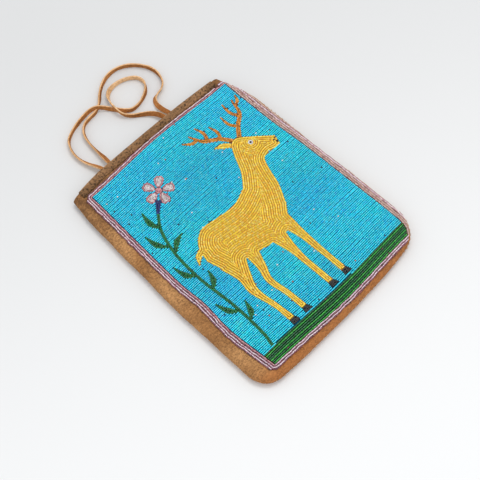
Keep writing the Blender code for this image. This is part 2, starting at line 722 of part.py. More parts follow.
def add_plant(picture):
    """A flower on a tall stem with leaves, which grows from the grass on the left."""
    centre = on_field(FLOWER_CENTRE)
    picture.add("flower_heart", *disc(centre, FLOWER_HEART), 1, "pink_beads")
    petals = []
    for number in range(PETALS):
        angle = math.radians(45.0 + 360.0 / PETALS * number)
        out = np.array([math.cos(angle), math.sin(angle)])
        root = centre + out * (FLOWER_HEART + CLEARANCE)
        path = [root + out * PETAL_LENGTH * share for share in (0.0, 0.35, 0.75, 1.0)]
        widths = PETAL_WIDTH * np.array([0.34, 0.8, 0.98, 0.5])
        name = f"petal_{number + 1}"
        picture.stroke(name, path, widths, 2, "petal_beads", ("flower_heart",), steps=2)
        petals.append(name)
    picture.stroke("calyx", on_field(((23.2, 80.4), (20.5, 78.4), (17.4, 76.1))),
                   CALYX_WIDTH * np.array([1.0, 0.77, 0.46]), 1, "navy_beads", petals)
    stem = on_field(((17.4, 76.1), (11.6, 69.8), (7.4, 58.8), (6.3, 43.9), (7.9, 27.5), (7.4, 12.5),
                     (5.8, 5.5)))
    stem[-1, 1] = STANDING_Y
    picture.stroke("stem", stem, np.full(len(stem), STEM_WIDTH), 1, "leaf_beads", ("calyx",), steps=2)
    leaves = (
        ((8.2, 58.8), (12.6, 62.0), (18.4, 63.5)), ((7.9, 62.7), (4.2, 66.7), (3.2, 72.2)),
        ((6.1, 46.3), (2.6, 49.4), (1.1, 54.9)), ((6.8, 37.6), (10.5, 40.4), (12.6, 44.7)),
        ((7.6, 24.3), (3.7, 27.5), (1.6, 32.9)), ((8.2, 18.8), (11.6, 21.2), (13.7, 25.9)),
        ((12.6, 70.6), (10.5, 75.3), (11.6, 80.8)),
    )
    for number, path in enumerate(leaves):
        picture.stroke(f"leaf_{number + 1}", on_field(path), LEAF_WIDTH * np.array([0.25, 1.0, 0.16]), 1,
                       "green_beads", ("stem",))


def add_ground(picture):
    """The turquoise ground: rows across the bag, with pockets for the picture."""
    ridges = round((FIELD_Y1 - FIELD_Y0) / (ROW * GROUND_ROWS_PER_RIDGE))
    share = np.linspace(0.0, 1.0, 2 * ridges + 1)
    y = FIELD_Y0 + (FIELD_Y1 - FIELD_Y0) * share
    left, right = field_left(y) + CLEARANCE / 2.0, field_right(y) - CLEARANCE / 2.0
    x = left + (right - left) * np.linspace(0.0, 1.0, BOW_STATIONS)[:, None]
    low, high = ground_foot(x) + CLEARANCE / 2.0, ground_top(x) - CLEARANCE / 2.0
    grid = np.stack([x, low + (high - low) * share], axis=2)
    made = ridge_solid("bead_ground", grid, flat_face(grid), CLEARANCE, "turquoise_beads")
    change = made.modifiers.new("pockets", "BOOLEAN")
    change.operation = "DIFFERENCE"
    change.solver = "EXACT"
    change.operand_type = "COLLECTION"
    change.collection = picture.pockets


def border_grid(inner, outer, lanes):
    """Lanes between two lines of points, half a clearance clear of each."""
    loop = np.vstack([inner, outer[::-1]])
    tight = offset_loop(loop, -CLEARANCE / 2.0)
    share = np.linspace(0.0, 1.0, 2 * lanes + 1)[None, :, None]
    return tight[: len(inner), None] * (1.0 - share) + tight[len(inner) :][::-1, None] * share


def add_borders():
    """Rows of pink and wine beads along the four edges of the ground.

    Where the bag's outline comes close to the ground, the rows stop short of its rim.
    """
    low = FIELD_Y0 - BOTTOM_BORDER_ROWS * ROW
    high = FIELD_Y1 + TOP_BORDER_ROWS * ROW
    stations = FIELD_Y0 + (FIELD_Y1 - FIELD_Y0) * EDGE_STATIONS
    y = np.concatenate([[low], stations, [high]])
    inner = field_left(y)
    outer = np.maximum(inner - LEFT_BORDER_ROWS * ROW, left_edge(y) + BEAD_MARGIN)
    add_border("border_left", (inner, y), (outer, y), LEFT_BORDER_ROWS)

    y = np.concatenate([stations, [high]])
    inner = field_right(y)
    outer = np.minimum(inner + RIGHT_BORDER_ROWS * ROW, right_edge(y) - BEAD_MARGIN)
    add_border("border_right", (inner, y), (outer, y), RIGHT_BORDER_ROWS)

    x = field_left(FIELD_Y0) + (field_right(FIELD_Y0) - field_left(FIELD_Y0)) * EDGE_STATIONS
    inner = ground_foot(x)
    outer = np.maximum(inner - BOTTOM_BORDER_ROWS * ROW, bottom_edge(x) + BEAD_MARGIN)
    add_border("border_bottom", (x, inner), (x, outer), BOTTOM_BORDER_ROWS)

    x = field_left(FIELD_Y1) + (field_right(FIELD_Y1) - field_left(FIELD_Y1)) * EDGE_STATIONS
    inner = ground_top(x)
    outer = inner + TOP_BORDER_ROWS * ROW
    add_border("border_top", (x, inner), (x, outer), TOP_BORDER_ROWS)


def add_border(name, inner, outer, lanes):
    """Lanes between two lines, as far as there is room for half a row between them."""
    inner, outer = np.stack(inner, axis=1), np.stack(outer, axis=1)
    wide = np.linalg.norm(outer - inner, axis=1) > ROW / 2.0
    grid = border_grid(inner[wide], outer[wide], lanes)
    ridge_solid(name, grid, front_z(grid), CLEARANCE, "pink_beads")


# Thongs


def add_thong(name, route):
    """A tube on a smooth curve through the route, closed at both ends."""
    line = smooth_curve(np.array(route) * MM, 12)
    run = np.concatenate([[0.0], np.cumsum(np.linalg.norm(np.diff(line, axis=0), axis=1))])
    stops = np.linspace(0.0, run[-1], round(run[-1] / THONG_STEP) + 1)
    points = np.stack([np.interp(stops, run, line[:, k]) for k in range(3)], axis=1)
    curve = bpy.data.curves.new(name, "CURVE")
    curve.dimensions = "3D"
    curve.bevel_depth = THONG / 2.0
    curve.bevel_resolution = 2
    curve.use_fill_caps = True
    spline = curve.splines.new("POLY")
    spline.points.add(len(points) - 1)
    for spot, point in zip(spline.points, points):
        spot.co = (*point, 1.0)
    curve.materials.append(material("thong_hide"))
    bpy.context.scene.collection.objects.link(bpy.data.objects.new(name, curve))


def add_tab(name, pair):
    """A hide tab that is sewn down over a pair of thong ends, inside the back panel."""
    middle = sum(pair) / 2.0 * MM
    room = abs(pair[1] - pair[0]) / 2.0 * MM + THONG / 2.0 + CLEARANCE
    wall = room + TAB_WALL
    foot = wall + TAB_FLANGE
    floor = HIDE + CLEARANCE
    roof = HIDE + 3.0 * CLEARANCE + THONG
    under = ((-foot, floor), (-room, floor), (-room, roof), (room, roof), (room, floor), (foot, floor))
    over = ((-foot, floor), (-wall, floor), (-wall, roof), (wall, roof), (wall, floor), (foot, floor))
    y1 = BAG_LENGTH / 2.0 - TAB_INSIDE
    bm = bmesh.new()
    layers = [
        [[bm.verts.new((middle + x, y, z + rise)) for y in (y1 - TAB_LENGTH, y1)] for x, z in line]
        for line, rise in ((over, TAB_WALL), (under, 0.0))
    ]
    close_layers(bm, layers)
    add_object(name, mesh_of(name, bm), "brown_hide")


def main():
    clear_scene()
    panel("back_panel", back_z)
    panel("front_panel", front_z)
    binding("mouth_binding_back", back_z, -1)
    binding("mouth_binding_front", front_z, 1)
    picture = Picture()
    add_grass(picture)
    add_stag(picture)
    add_antlers(picture)
    add_plant(picture)
    add_ground(picture)
    add_borders()
    for name, route in THONG_ROUTES.items():
        add_thong(name, route)
    for name, pair in THONG_PAIRS.items():
        add_tab(name, pair)


main()
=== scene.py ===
"""The looks of the flat beaded hide bag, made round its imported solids.

Every bead is its own small glass form, set in the straight rows of the ground, in rows that
follow the outlines of the picture's fields, and in the rows of the borders. The hide panels,
the folded strips at the mouth and the cut thongs are fine meshes in the places of the solids.
Lengths are in metres, in the frame of the solids.
"""

import math

import bpy
import numpy as np
from mathutils import Matrix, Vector
from mathutils.kdtree import KDTree


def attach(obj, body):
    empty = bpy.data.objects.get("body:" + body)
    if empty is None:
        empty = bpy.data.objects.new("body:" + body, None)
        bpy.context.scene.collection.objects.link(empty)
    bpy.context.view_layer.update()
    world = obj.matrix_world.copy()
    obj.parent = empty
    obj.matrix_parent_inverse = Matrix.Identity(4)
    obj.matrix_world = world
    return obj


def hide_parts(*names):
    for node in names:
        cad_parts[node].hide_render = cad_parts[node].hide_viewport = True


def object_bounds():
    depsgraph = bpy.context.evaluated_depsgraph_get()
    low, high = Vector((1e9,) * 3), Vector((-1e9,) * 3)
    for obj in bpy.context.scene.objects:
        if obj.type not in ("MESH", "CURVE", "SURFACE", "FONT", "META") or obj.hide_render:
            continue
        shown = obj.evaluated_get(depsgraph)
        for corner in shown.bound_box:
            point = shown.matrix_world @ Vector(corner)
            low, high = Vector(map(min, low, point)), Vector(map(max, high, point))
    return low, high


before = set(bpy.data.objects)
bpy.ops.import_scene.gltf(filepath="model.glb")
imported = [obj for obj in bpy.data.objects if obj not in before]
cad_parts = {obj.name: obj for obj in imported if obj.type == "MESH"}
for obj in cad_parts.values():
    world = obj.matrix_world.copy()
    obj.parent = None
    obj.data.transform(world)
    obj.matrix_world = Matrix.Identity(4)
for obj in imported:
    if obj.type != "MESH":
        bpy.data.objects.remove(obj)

CAD_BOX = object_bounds()

MM = 0.001
rng = np.random.default_rng(1907)


def sizes_at(*pairs):
    """Shares of a length, each with a size in millimetres."""
    return tuple((share, size * MM) for share, size in pairs)


# The sizes that the solids have
BAG_WIDTH = 232.0 * MM
BAG_LENGTH = 286.8 * MM
HIDE = 1.4 * MM
POCKET_GAP = 7.7 * MM
RIM_RADIUS = 6.0 * MM
CLEARANCE = 0.3 * MM
LEFT_INSET = sizes_at((0.0, 0.0), (0.42, 0.5), (0.63, 3.2), (0.84, 6.1), (1.0, 11.5))
RIGHT_INSET = sizes_at((0.0, 0.0), (0.35, 0.3), (0.5, 2.2), (0.76, 2.6), (0.87, 6.1), (1.0, 17.0))
BOTTOM_INSET = sizes_at((0.0, 1.5), (0.3, 0.0), (0.62, 0.8), (0.8, 3.6), (1.0, 8.0))
MOUTH_INSET = sizes_at((0.0, 6.5), (0.17, 1.1), (0.3, 0.0), (0.66, 1.2), (1.0, 6.0))
LEFT_CORNER = 24.0 * MM
RIGHT_CORNER = 30.0 * MM
BINDING = 0.8 * MM
BINDING_WIDTH = 9.5 * MM
BINDING_END = 10.0 * MM
LIFT_LENGTH = 11.0 * MM
LEFT_BULGE = sizes_at((0.0, 1.5), (0.2, 6.0), (0.36, 3.5), (0.52, 5.0), (1.0, 0.0))
RIGHT_BULGE = sizes_at((0.0, 0.0), (0.06, 6.5), (0.27, 6.0), (0.56, 4.2), (0.75, 1.2), (1.0, 0.0))
FACE_Z = 2.0 * HIDE + POCKET_GAP
SEAM_Z = FACE_Z / 2.0
BACK_LIFT = BINDING + CLEARANCE
FIELD_X0 = -BAG_WIDTH / 2.0 + 25.9 * MM
FIELD_X1 = BAG_WIDTH / 2.0 - 15.9 * MM
FIELD_Y0 = -BAG_LENGTH / 2.0 + 13.6 * MM
FIELD_Y1 = BAG_LENGTH / 2.0 - 18.2 * MM
FIELD_HEIGHT = FIELD_Y1 - FIELD_Y0

# Beads: seed beads sewn down in rows
ROW = 1.9 * MM
BEAD_R = 0.77 * MM
BEAD_L = 1.4 * MM
BEAD_STEP = 1.46 * MM
BEAD_Z = FACE_Z + 1.45 * MM
BED_Z = FACE_Z + 0.8 * MM


# Curves and directions


def smooth_curve(points, steps):
    """A Catmull-Rom curve through the points, with so many steps in each span."""
    p = np.array(points, float)
    ends = np.vstack([2.0 * p[0] - p[1], p, 2.0 * p[-1] - p[-2]])
    out = []
    for i in range(len(p) - 1):
        a, b, c, d = ends[i : i + 4]
        for t in np.arange(steps) / steps:
            out.append(0.5 * (2.0 * b + (c - a) * t + (2.0 * a - 5.0 * b + 4.0 * c - d) * t**2
                              + (3.0 * b - a - 3.0 * c + d) * t**3))
    out.append(p[-1])
    return np.array(out)


def along(points, share):
    """The value of a smooth (share, value) curve at one share or several."""
    line = smooth_curve(points, 8)
    return np.interp(share, line[:, 0], line[:, 1])


def run_of(line):
    """How far along a line each of its points lies."""
    return np.concatenate([[0.0], np.cumsum(np.linalg.norm(np.diff(line, axis=0), axis=1))])


def spots_at(stops, run, line):
    """The spots at some distances along a line, by the distances of its points."""
    return np.stack([np.interp(stops, run, column) for column in line.T], axis=1)


def unit(vectors):
    """Rows of vectors, each scaled to a length of 1."""
    return vectors / np.maximum(np.linalg.norm(vectors, axis=1), 1e-9)[:, None]


def to_left(directions):
    """Flat directions, each turned a quarter to the left."""
    return np.stack([-directions[:, 1], directions[:, 0]], axis=1)


def stretches(flags):
    """The start and the end of each stretch in which the flags hold."""
    change = np.flatnonzero(np.diff(np.concatenate([[0], flags.astype(int), [0]])))
    return zip(change[::2], change[1::2])


def rounding(distance, radius):
    """How far a round corner pulls an edge in, at a distance from the corner's tip."""
    inside = np.clip(radius - np.maximum(distance, 0.0), 0.0, radius)
    return radius - np.sqrt(radius**2 - inside**2)


def smoothstep(value, low, high):
    share = np.clip((value - low) / (high - low), 0.0, 1.0)
    return share * share * (3.0 - 2.0 * share)


def waves(x, y, size, seed, octaves=3):
    """Soft smooth noise from -1 to 1 over a plane, with bumps about so large."""
    turn = np.random.default_rng(seed)
    total, weight = 0.0, 0.0
    for octave in range(octaves):
        part = 0.0
        for _ in range(5):
            angle, phase = turn.uniform(0.0, 2.0 * math.pi, 2)
            pitch = 2.0 * math.pi / (size * turn.uniform(0.75, 1.4) / 1.9**octave)
            part = part + np.sin((x * math.cos(angle) + y * math.sin(angle)) * pitch + phase)
        total = total + part / 2.4 * 0.5**octave
        weight += 0.5**octave
    return np.clip(total / weight, -1.0, 1.0)


# Outline of the bag, as in the solids


def left_edge(y):
    from_foot = y + BAG_LENGTH / 2.0
    corner = rounding(from_foot - BOTTOM_INSET[0][1], LEFT_CORNER)
    return -BAG_WIDTH / 2.0 + along(LEFT_INSET, from_foot / BAG_LENGTH) + corner


def right_edge(y):
    from_foot = y + BAG_LENGTH / 2.0
    corner = rounding(from_foot - BOTTOM_INSET[-1][1], RIGHT_CORNER)
    return BAG_WIDTH / 2.0 - along(RIGHT_INSET, from_foot / BAG_LENGTH) - corner


def bottom_edge(x):
    share = (x + BAG_WIDTH / 2.0) / BAG_WIDTH
    corners = rounding(x + BAG_WIDTH / 2.0, LEFT_CORNER) + rounding(BAG_WIDTH / 2.0 - x, RIGHT_CORNER)
    return -BAG_LENGTH / 2.0 + along(BOTTOM_INSET, share) + corners


def mouth_edge(x):
    return BAG_LENGTH / 2.0 - along(MOUTH_INSET, (x + BAG_WIDTH / 2.0) / BAG_WIDTH)


def lip_edge(x):
    """The panels' own edge at the mouth, under the folded strip."""
    return mouth_edge(x) - BINDING - CLEARANCE


def moved_in(line, distance):
    """The line round the sides and the bottom, moved into the bag by a distance."""
    inward = to_left(unit(np.gradient(line, axis=0)))
    inward[[0, -1]] = ((1.0, 0.0), (-1.0, 0.0))
    return line + distance * inward


def side_line(edge, low, top_y, up):
    """Points up one side of the bag, from the end of its bottom corner to the mouth."""
    y = low[1] + (top_y - low[1]) * up
    line = np.stack([edge(y), y], axis=1)
    line[0] = low
    return line


def panel_grid(across, up, inset):
    """Points of a panel: across and up are shares of its width and length."""
    half_turn = 1.0 - math.sqrt(0.5)
    x_left = -BAG_WIDTH / 2.0 + half_turn * LEFT_CORNER
    x_right = BAG_WIDTH / 2.0 - half_turn * RIGHT_CORNER
    top_y = BAG_LENGTH / 2.0 - MOUTH_INSET[0][1]
    top_left, top_right = left_edge(top_y), right_edge(top_y)
    bottom_x = x_left + (x_right - x_left) * across
    bottom = np.stack([bottom_x, bottom_edge(bottom_x)], axis=1)
    mouth_x = top_left + (top_right - top_left) * across
    mouth = np.stack([mouth_x, lip_edge(mouth_x)], axis=1)
    left = side_line(left_edge, np.array([x_left, bottom_edge(x_left)]), lip_edge(top_left), up)
    right = side_line(right_edge, np.array([x_right, bottom_edge(x_right)]), lip_edge(top_right), up)
    loop = np.vstack([left[::-1], bottom[1:-1], right])
    if inset:
        loop = moved_in(loop, inset)
        left = loop[: len(left)][::-1]
        bottom = loop[len(left) - 1 : len(left) + len(bottom) - 1]
        right = loop[len(left) + len(bottom) - 2 :]
        mouth[:, 0] = np.interp(mouth[:, 0], (mouth[0, 0], mouth[-1, 0]), (left[-1, 0], right[-1, 0]))
        mouth[:, 1] = lip_edge(mouth[:, 0])
        left[-1], right[-1] = mouth[0], mouth[-1]
    s, t = across[:, None, None], up[None, :, None]
    blend = (1.0 - t) * bottom[:, None] + t * mouth[:, None] + (1.0 - s) * left[None] + s * right[None]
    corners = (1.0 - s) * (1.0 - t) * bottom[0] + s * (1.0 - t) * bottom[-1]
    return blend - corners - (1.0 - s) * t * mouth[0] - s * t * mouth[-1]


def seam_line():
    """The seam round the sides and the bottom, as a fine line of points."""
    fine = np.linspace(0.0, 1.0, 90)
    grid = panel_grid(fine, fine, 0.0)
    return np.vstack([grid[0, ::-1], grid[1:-1, 0], grid[-1]])


SEAM = seam_line()


def distance_to_seam(points):
    """The distance from each point to the seam."""
    start, step = SEAM[:-1], np.diff(SEAM, axis=0)
    flat = points.reshape(-1, 2)
    gaps = []
    for some in np.array_split(flat, max(1, len(flat) // 4000)):
        offset = some[:, None] - start[None]
        share = np.clip(np.sum(offset * step, axis=2) / np.sum(step * step, axis=1), 0.0, 1.0)
        gap = offset - share[..., None] * step
        gaps.append(np.sqrt(np.min(np.sum(gap * gap, axis=2), axis=1)))
    return np.concatenate(gaps).reshape(points.shape[:-1])


def below_strip(points):
    """How far below the mouth's folded strip each point lies."""
    return mouth_edge(points[..., 0]) - BINDING_WIDTH - points[..., 1]


def mouth_lift(points):
    """The share of its lift that the back has, from 0 in the bag to 1 at the folded strip."""
    return smoothstep(1.0 - below_strip(points) / LIFT_LENGTH, 0.0, 1.0)


def rim_height(points, depth):
    """The share of its full height that the rounded rim of a panel has reached."""
    inside = np.clip(1.0 - (distance_to_seam(points) - depth) / (RIM_RADIUS - depth), 0.0, 1.0)
    return np.sqrt(1.0 - inside * inside)


def front_z(points, depth=0.0):
    base = SEAM_Z + CLEARANCE / 2.0
    return base + (FACE_Z - depth - base) * rim_height(points, depth)


def back_z(points, depth=0.0):
    base = SEAM_Z - CLEARANCE / 2.0
    rim = rim_height(points, depth)
    return base - (base - depth) * rim + BACK_LIFT * mouth_lift(points) * rim


# The turquoise ground, with sides that bulge


def field_left(y):
    return FIELD_X0 - along(LEFT_BULGE, (y - FIELD_Y0) / FIELD_HEIGHT)


def field_right(y):
    return FIELD_X1 + along(RIGHT_BULGE, (y - FIELD_Y0) / FIELD_HEIGHT)


def on_field(points):
    """Points in hundredths of the turquoise ground's width and height, placed on it."""
    size = np.array([FIELD_X1 - FIELD_X0, FIELD_HEIGHT])
    return np.asarray(points, float) / 100.0 * size + np.array([FIELD_X0, FIELD_Y0])


# Camera and thongs come first

CAMERA_TURN = math.radians(-45.746)
CAMERA_RISE = math.radians(63.60)
CAMERA_AIM = np.array((-0.0209, -0.0150, 0.013))
CAMERA_DISTANCE = 1.2676


def make_camera():
    turn, rise = CAMERA_TURN, CAMERA_RISE
    back = np.array([math.sin(turn) * math.cos(rise), -math.cos(turn) * math.cos(rise), math.sin(rise)])
    right = np.array([math.cos(turn), math.sin(turn), 0.0])
    up = np.cross(back, right)
    data = bpy.data.cameras.new("camera")
    data.sensor_width = 36.0
    data.lens = 96.1
    data.clip_start = 0.02
    data.clip_end = 50.0
    camera = add_to_scene("camera", data)
    place = Matrix(np.stack([right, up, back], axis=1).tolist()).to_4x4()
    place.translation = CAMERA_AIM + back * CAMERA_DISTANCE
    camera.matrix_world = place
    bpy.context.scene.camera = camera
    bpy.context.scene.view_settings.view_transform = "Standard"


def add_to_scene(name, data):
    made = bpy.data.objects.new(name, data)
    bpy.context.scene.collection.objects.link(made)
    return made


def make_object(name, points, faces, materials, face_material=None):
    mesh = bpy.data.meshes.new(name)
    mesh.from_pydata([tuple(p) for p in points], [], faces)
    for item in materials:
        mesh.materials.append(item)
    if face_material is not None:
        mesh.polygons.foreach_set("material_index", np.asarray(face_material, np.int32))
    mesh.shade_smooth()
    return add_to_scene(name, mesh)


def settle(made, slot, *nodes):
    """The piece rides on the bag and stands for its nodes, which it hides; its slot is not used."""
    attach(made, "root")
    if nodes:
        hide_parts(*nodes)
    return made


# Nodes of materials


class Shader:
    """A material's node tree, with short calls for the nodes used here."""

    def __init__(self, name):
        self.material = bpy.data.materials.new(name)
        self.material.use_nodes = True
        self.tree = self.material.node_tree
        self.shader = self.tree.nodes["Principled BSDF"]
        self.place = self.node("ShaderNodeTexCoord").outputs["Object"]

    def node(self, kind, **values):
        made = self.tree.nodes.new(kind)
        for key, value in values.items():
            setattr(made, key, value)
        return made

    def link(self, start, end):
        self.tree.links.new(start, end)

    def set(self, **values):
        for key, value in values.items():
            self.shader.inputs[key.replace("_", " ")].default_value = value

    def noise(self, scale, detail=3.0, rough=0.55, stretch=None):
        made = self.node("ShaderNodeTexNoise")
        made.inputs["Scale"].default_value = scale
        made.inputs["Detail"].default_value = detail
        made.inputs["Roughness"].default_value = rough
        place = self.place
        if stretch:
            mapping = self.node("ShaderNodeMapping")
            mapping.inputs["Scale"].default_value = stretch
            self.link(place, mapping.inputs["Vector"])
            place = mapping.outputs["Vector"]
        self.link(place, made.inputs["Vector"])
        return made.outputs["Fac"]

    def span(self, value, low, high, out_low=0.0, out_high=1.0):
        made = self.node("ShaderNodeMapRange", interpolation_type="SMOOTHSTEP")
        ends = {"From Min": low, "From Max": high, "To Min": out_low, "To Max": out_high}
        for key, number in ends.items():
            made.inputs[key].default_value = number
        self.link(value, made.inputs["Value"])
        return made.outputs["Result"]

    def mix(self, fac, a, b, blend="MIX"):
        made = self.node("ShaderNodeMix", data_type="RGBA", blend_type=blend)
        for socket, value in ((made.inputs[0], fac), (made.inputs[6], a), (made.inputs[7], b)):
            if hasattr(value, "is_linked"):
                self.link(value, socket)
            elif isinstance(value, float):
                socket.default_value = value
            else:
                socket.default_value = (*value, 1.0)
        return made.outputs[2]

    def math(self, operation, a, b):
        made = self.node("ShaderNodeMath", operation=operation)
        for socket, value in zip(made.inputs, (a, b)):
            if hasattr(value, "is_linked"):
                self.link(value, socket)
            else:
                socket.default_value = value
        return made.outputs[0]

    def axis(self, letter):
        made = self.node("ShaderNodeSeparateXYZ")
        self.link(self.place, made.inputs[0])
        return made.outputs[letter]

    def shaded(self, colour, value):
        """The colour made lighter or darker all over by a value."""
        tint = self.node("ShaderNodeCombineColor")
        for socket in tint.inputs[:3]:
            self.link(value, socket)
        return self.mix(1.0, colour, tint.outputs[0], "MULTIPLY")

    def colour(self, value):
        self.link(value, self.shader.inputs["Base Color"])

    def bump(self, height, depth, strength=1.0):
        made = self.node("ShaderNodeBump")
        made.inputs["Strength"].default_value = strength
        made.inputs["Distance"].default_value = depth
        self.link(height, made.inputs["Height"])
        self.link(made.outputs["Normal"], self.shader.inputs["Normal"])


def rgb(red, green, blue):
    """A colour as seen on screen (0 to 255), as the shader takes it."""
    levels = (red, green, blue)
    return tuple(((c / 255.0 + 0.055) / 1.055) ** 2.4 if c > 10.3 else c / 255.0 / 12.92 for c in levels)


def hide_material(name, light, dark, speck, orange=None, worn_and_lit=None, speck_scale=700.0, speck_share=0.55):
    """Soft tanned hide: cloudy colour, fine dark specks, nap and grain, and where asked a lighter fold,
    part scuffing and part painted highlight.
    """
    m = Shader(name)
    cloud = m.span(m.noise(26.0, 3.0, 0.55), 0.34, 0.66)
    base = m.mix(cloud, dark, light)
    if orange:
        low = m.span(m.axis("Y"), -0.138, -0.118, 1.0, 0.0)
        base = m.mix(m.math("MULTIPLY", low, 0.8), base, orange)
        upper_left = m.span(m.axis("Y"), 0.06, 0.13), m.span(m.axis("X"), -0.04, -0.095)
        near_corner = m.math("MULTIPLY", *upper_left)
        near_mouth = m.math("MAXIMUM", near_corner, m.span(m.axis("Y"), 0.118, 0.129))
        mottle = m.span(m.noise(210.0, 4.0, 0.7), 0.38, 0.6, 0.35, 1.0)
        base = m.mix(m.math("MULTIPLY", near_mouth, m.math("MULTIPLY", mottle, 0.8)), base, speck)
    # A lighter fold: partly scuffing, partly a painted highlight where the top of the fold catches the
    # light.
    if worn_and_lit:
        wear_and_highlight = m.node("ShaderNodeAttribute", attribute_name="wear_and_highlight").outputs["Fac"]
        rubbed_and_lit = m.math("MULTIPLY", wear_and_highlight, m.span(m.noise(160.0, 4.0, 0.7), 0.3, 0.6, 0.25, 1.0))
        base = m.mix(rubbed_and_lit, base, worn_and_lit)
    fine = m.span(m.noise(speck_scale, 3.0, 0.65), 0.47, 0.61)
    specks = m.math("MULTIPLY", fine, m.span(m.noise(80.0), 0.28, 0.55))
    base = m.mix(m.math("MULTIPLY", specks, speck_share), base, speck)
    streak = m.span(m.noise(620.0, 4.0, 0.75, (0.5, 1.0, 1.0)), 0.34, 0.66, 0.74, 1.2)
    m.colour(m.shaded(base, streak))
    m.set(Roughness=0.9, Specular_IOR_Level=0.18, Sheen_Weight=0.25, Sheen_Roughness=0.5)
    m.shader.inputs["Sheen Tint"].default_value = (*light, 1.0)
    grain = m.math("ADD", m.noise(900.0, 4.0, 0.65), m.math("MULTIPLY", m.noise(240.0, 4.0, 0.65), 2.0))
    m.bump(grain, 0.0003, 0.9)
    return m.material


def bead_material(name, rough, coat):
    """Glass beads that take their own colours, with a slightly uneven glaze."""
    m = Shader(name)
    beads = m.node("ShaderNodeVertexColor", layer_name="bead_and_shade_colour").outputs["Color"]
    glaze = m.span(m.noise(380.0, 2.0), 0.3, 0.7, 0.86, 1.08)
    m.colour(m.shaded(beads, glaze))
    m.link(m.span(m.noise(700.0, 2.0), 0.3, 0.7, rough * 0.7, rough * 1.5), m.shader.inputs["Roughness"])
    m.set(IOR=1.52, Specular_IOR_Level=0.5, Coat_Weight=coat, Coat_Roughness=0.1)
    return m.material


# The sheet under the beads: thread coloured with the painted shade of the gaps between beads, with fine
# flecks.
def thread_and_shade_material():
    m = Shader("thread_and_gap_shade")
    beads = m.node("ShaderNodeVertexColor", layer_name="bead_and_shade_colour").outputs["Color"]
    fleck = m.span(m.noise(1500.0, 2.0), 0.3, 0.7, 0.75, 1.15)
    m.colour(m.shaded(beads, fleck))
    m.set(Roughness=0.95, Specular_IOR_Level=0.1)
    m.bump(m.noise(2200.0, 2.0, 0.5, (1.0, 0.3, 1.0)), 0.0001, 0.5)
    return m.material


# Thongs: flat strips of hide

THONG_WIDTH = 5.4 * MM
THONG_THICK = 1.6 * MM
AT_MOUTH = 3
ROLL_SPAN = 33
THONG_ROUTES = {
    "thong_inner": (
        (-56.5, 116.0, 3.5), (-56.5, 125.0, 3.8), (-57.0, 134.0, 5.8), (-57.9, 143.5, 5.8),
        (-60.5, 152.0, 5.2), (-64.2, 162.0, 3.8), (-66.3, 174.0, 3.0), (-64.8, 185.0, 3.0),
        (-60.0, 194.5, 3.0), (-52.0, 200.0, 3.0), (-42.0, 203.6, 3.3), (-31.0, 205.4, 4.6),
        (-21.0, 205.6, 6.1), (-13.0, 203.4, 6.4), (-6.5, 198.6, 4.4), (-2.0, 193.2, 2.7),
        (2.5, 187.2, 2.4), (7.5, 180.6, 2.9), (14.0, 176.4, 3.0), (23.0, 176.4, 3.0),
        (33.5, 179.8, 3.0), (41.5, 185.2, 3.0), (45.8, 193.0, 3.0), (44.2, 201.6, 3.0),
        (36.0, 208.4, 3.0), (25.5, 211.8, 3.0), (14.5, 211.6, 3.0), (6.8, 207.0, 3.2),
        (3.0, 199.8, 4.8), (0.9, 192.0, 6.6), (0.6, 184.6, 5.9), (2.6, 177.4, 4.1),
        (8.0, 170.9, 3.1), (15.5, 165.4, 3.0), (22.6, 159.2, 3.8), (27.2, 151.8, 5.0),
        (29.3, 143.5, 5.8), (30.2, 134.0, 5.8), (30.4, 125.0, 3.8), (30.4, 116.0, 3.5),
    ),
    "thong_outer": (
        (-50.0, 116.0, 3.5), (-50.0, 125.0, 3.8), (-49.3, 134.0, 5.8), (-48.7, 143.5, 5.8),
        (-47.8, 153.0, 5.0), (-47.1, 165.0, 3.6), (-46.3, 176.0, 3.0), (-44.2, 186.0, 3.0),
        (-39.8, 194.2, 3.0), (-33.0, 199.0, 2.9), (-24.5, 200.6, 2.5), (-16.0, 201.6, 2.2),
        (-9.0, 204.8, 2.3), (-2.5, 210.0, 2.8), (4.0, 216.0, 3.0), (12.0, 221.6, 3.0),
        (22.0, 225.4, 3.0), (32.5, 226.2, 3.0), (42.8, 223.2, 3.0), (51.6, 217.0, 3.0),
        (58.6, 208.6, 3.0), (62.8, 199.2, 3.0), (63.4, 188.6, 3.0), (60.2, 179.4, 3.0),
        (53.6, 173.8, 3.0), (46.0, 171.6, 3.0), (39.6, 169.4, 3.0), (35.6, 162.6, 3.4),
        (35.0, 152.6, 4.9), (36.6, 143.5, 5.8), (37.0, 134.0, 5.8), (36.4, 125.0, 3.8),
        (36.4, 116.0, 3.5),
    ),
}
# How far each strip has turned from flat (0) to on edge (90), at points of its route
THONG_ROLLS = {
    "thong_inner": ((0, 0), (3, 4), (5, 58), (8, 84), (11, 78), (13, 60), (16, 70), (19, 80), (23, 84),
                    (25, 112), (27, 118), (29, 96), (32, 84), (34, 60), (36, 8), (39, 0)),
    "thong_outer": ((0, 0), (3, 4), (5, 60), (8, 84), (11, 86), (15, 76), (19, 84), (24, 88), (26, 70),
                    (27.5, 20), (29, 0), (32, 0)),
}


def tube_faces(rings, sides, start=0):
    """The faces of a closed tube of rings of points, with a cap at each end."""
    faces = []
    for i in range(rings - 1):
        for k in range(sides):
            a, b = start + i * sides + k, start + i * sides + (k + 1) % sides
            faces.append((a, b, b + sides, a + sides))
    last = start + (rings - 1) * sides
    first_cap = tuple(start + k for k in range(sides - 1, -1, -1))
    return faces + [first_cap, tuple(last + k for k in range(sides))]


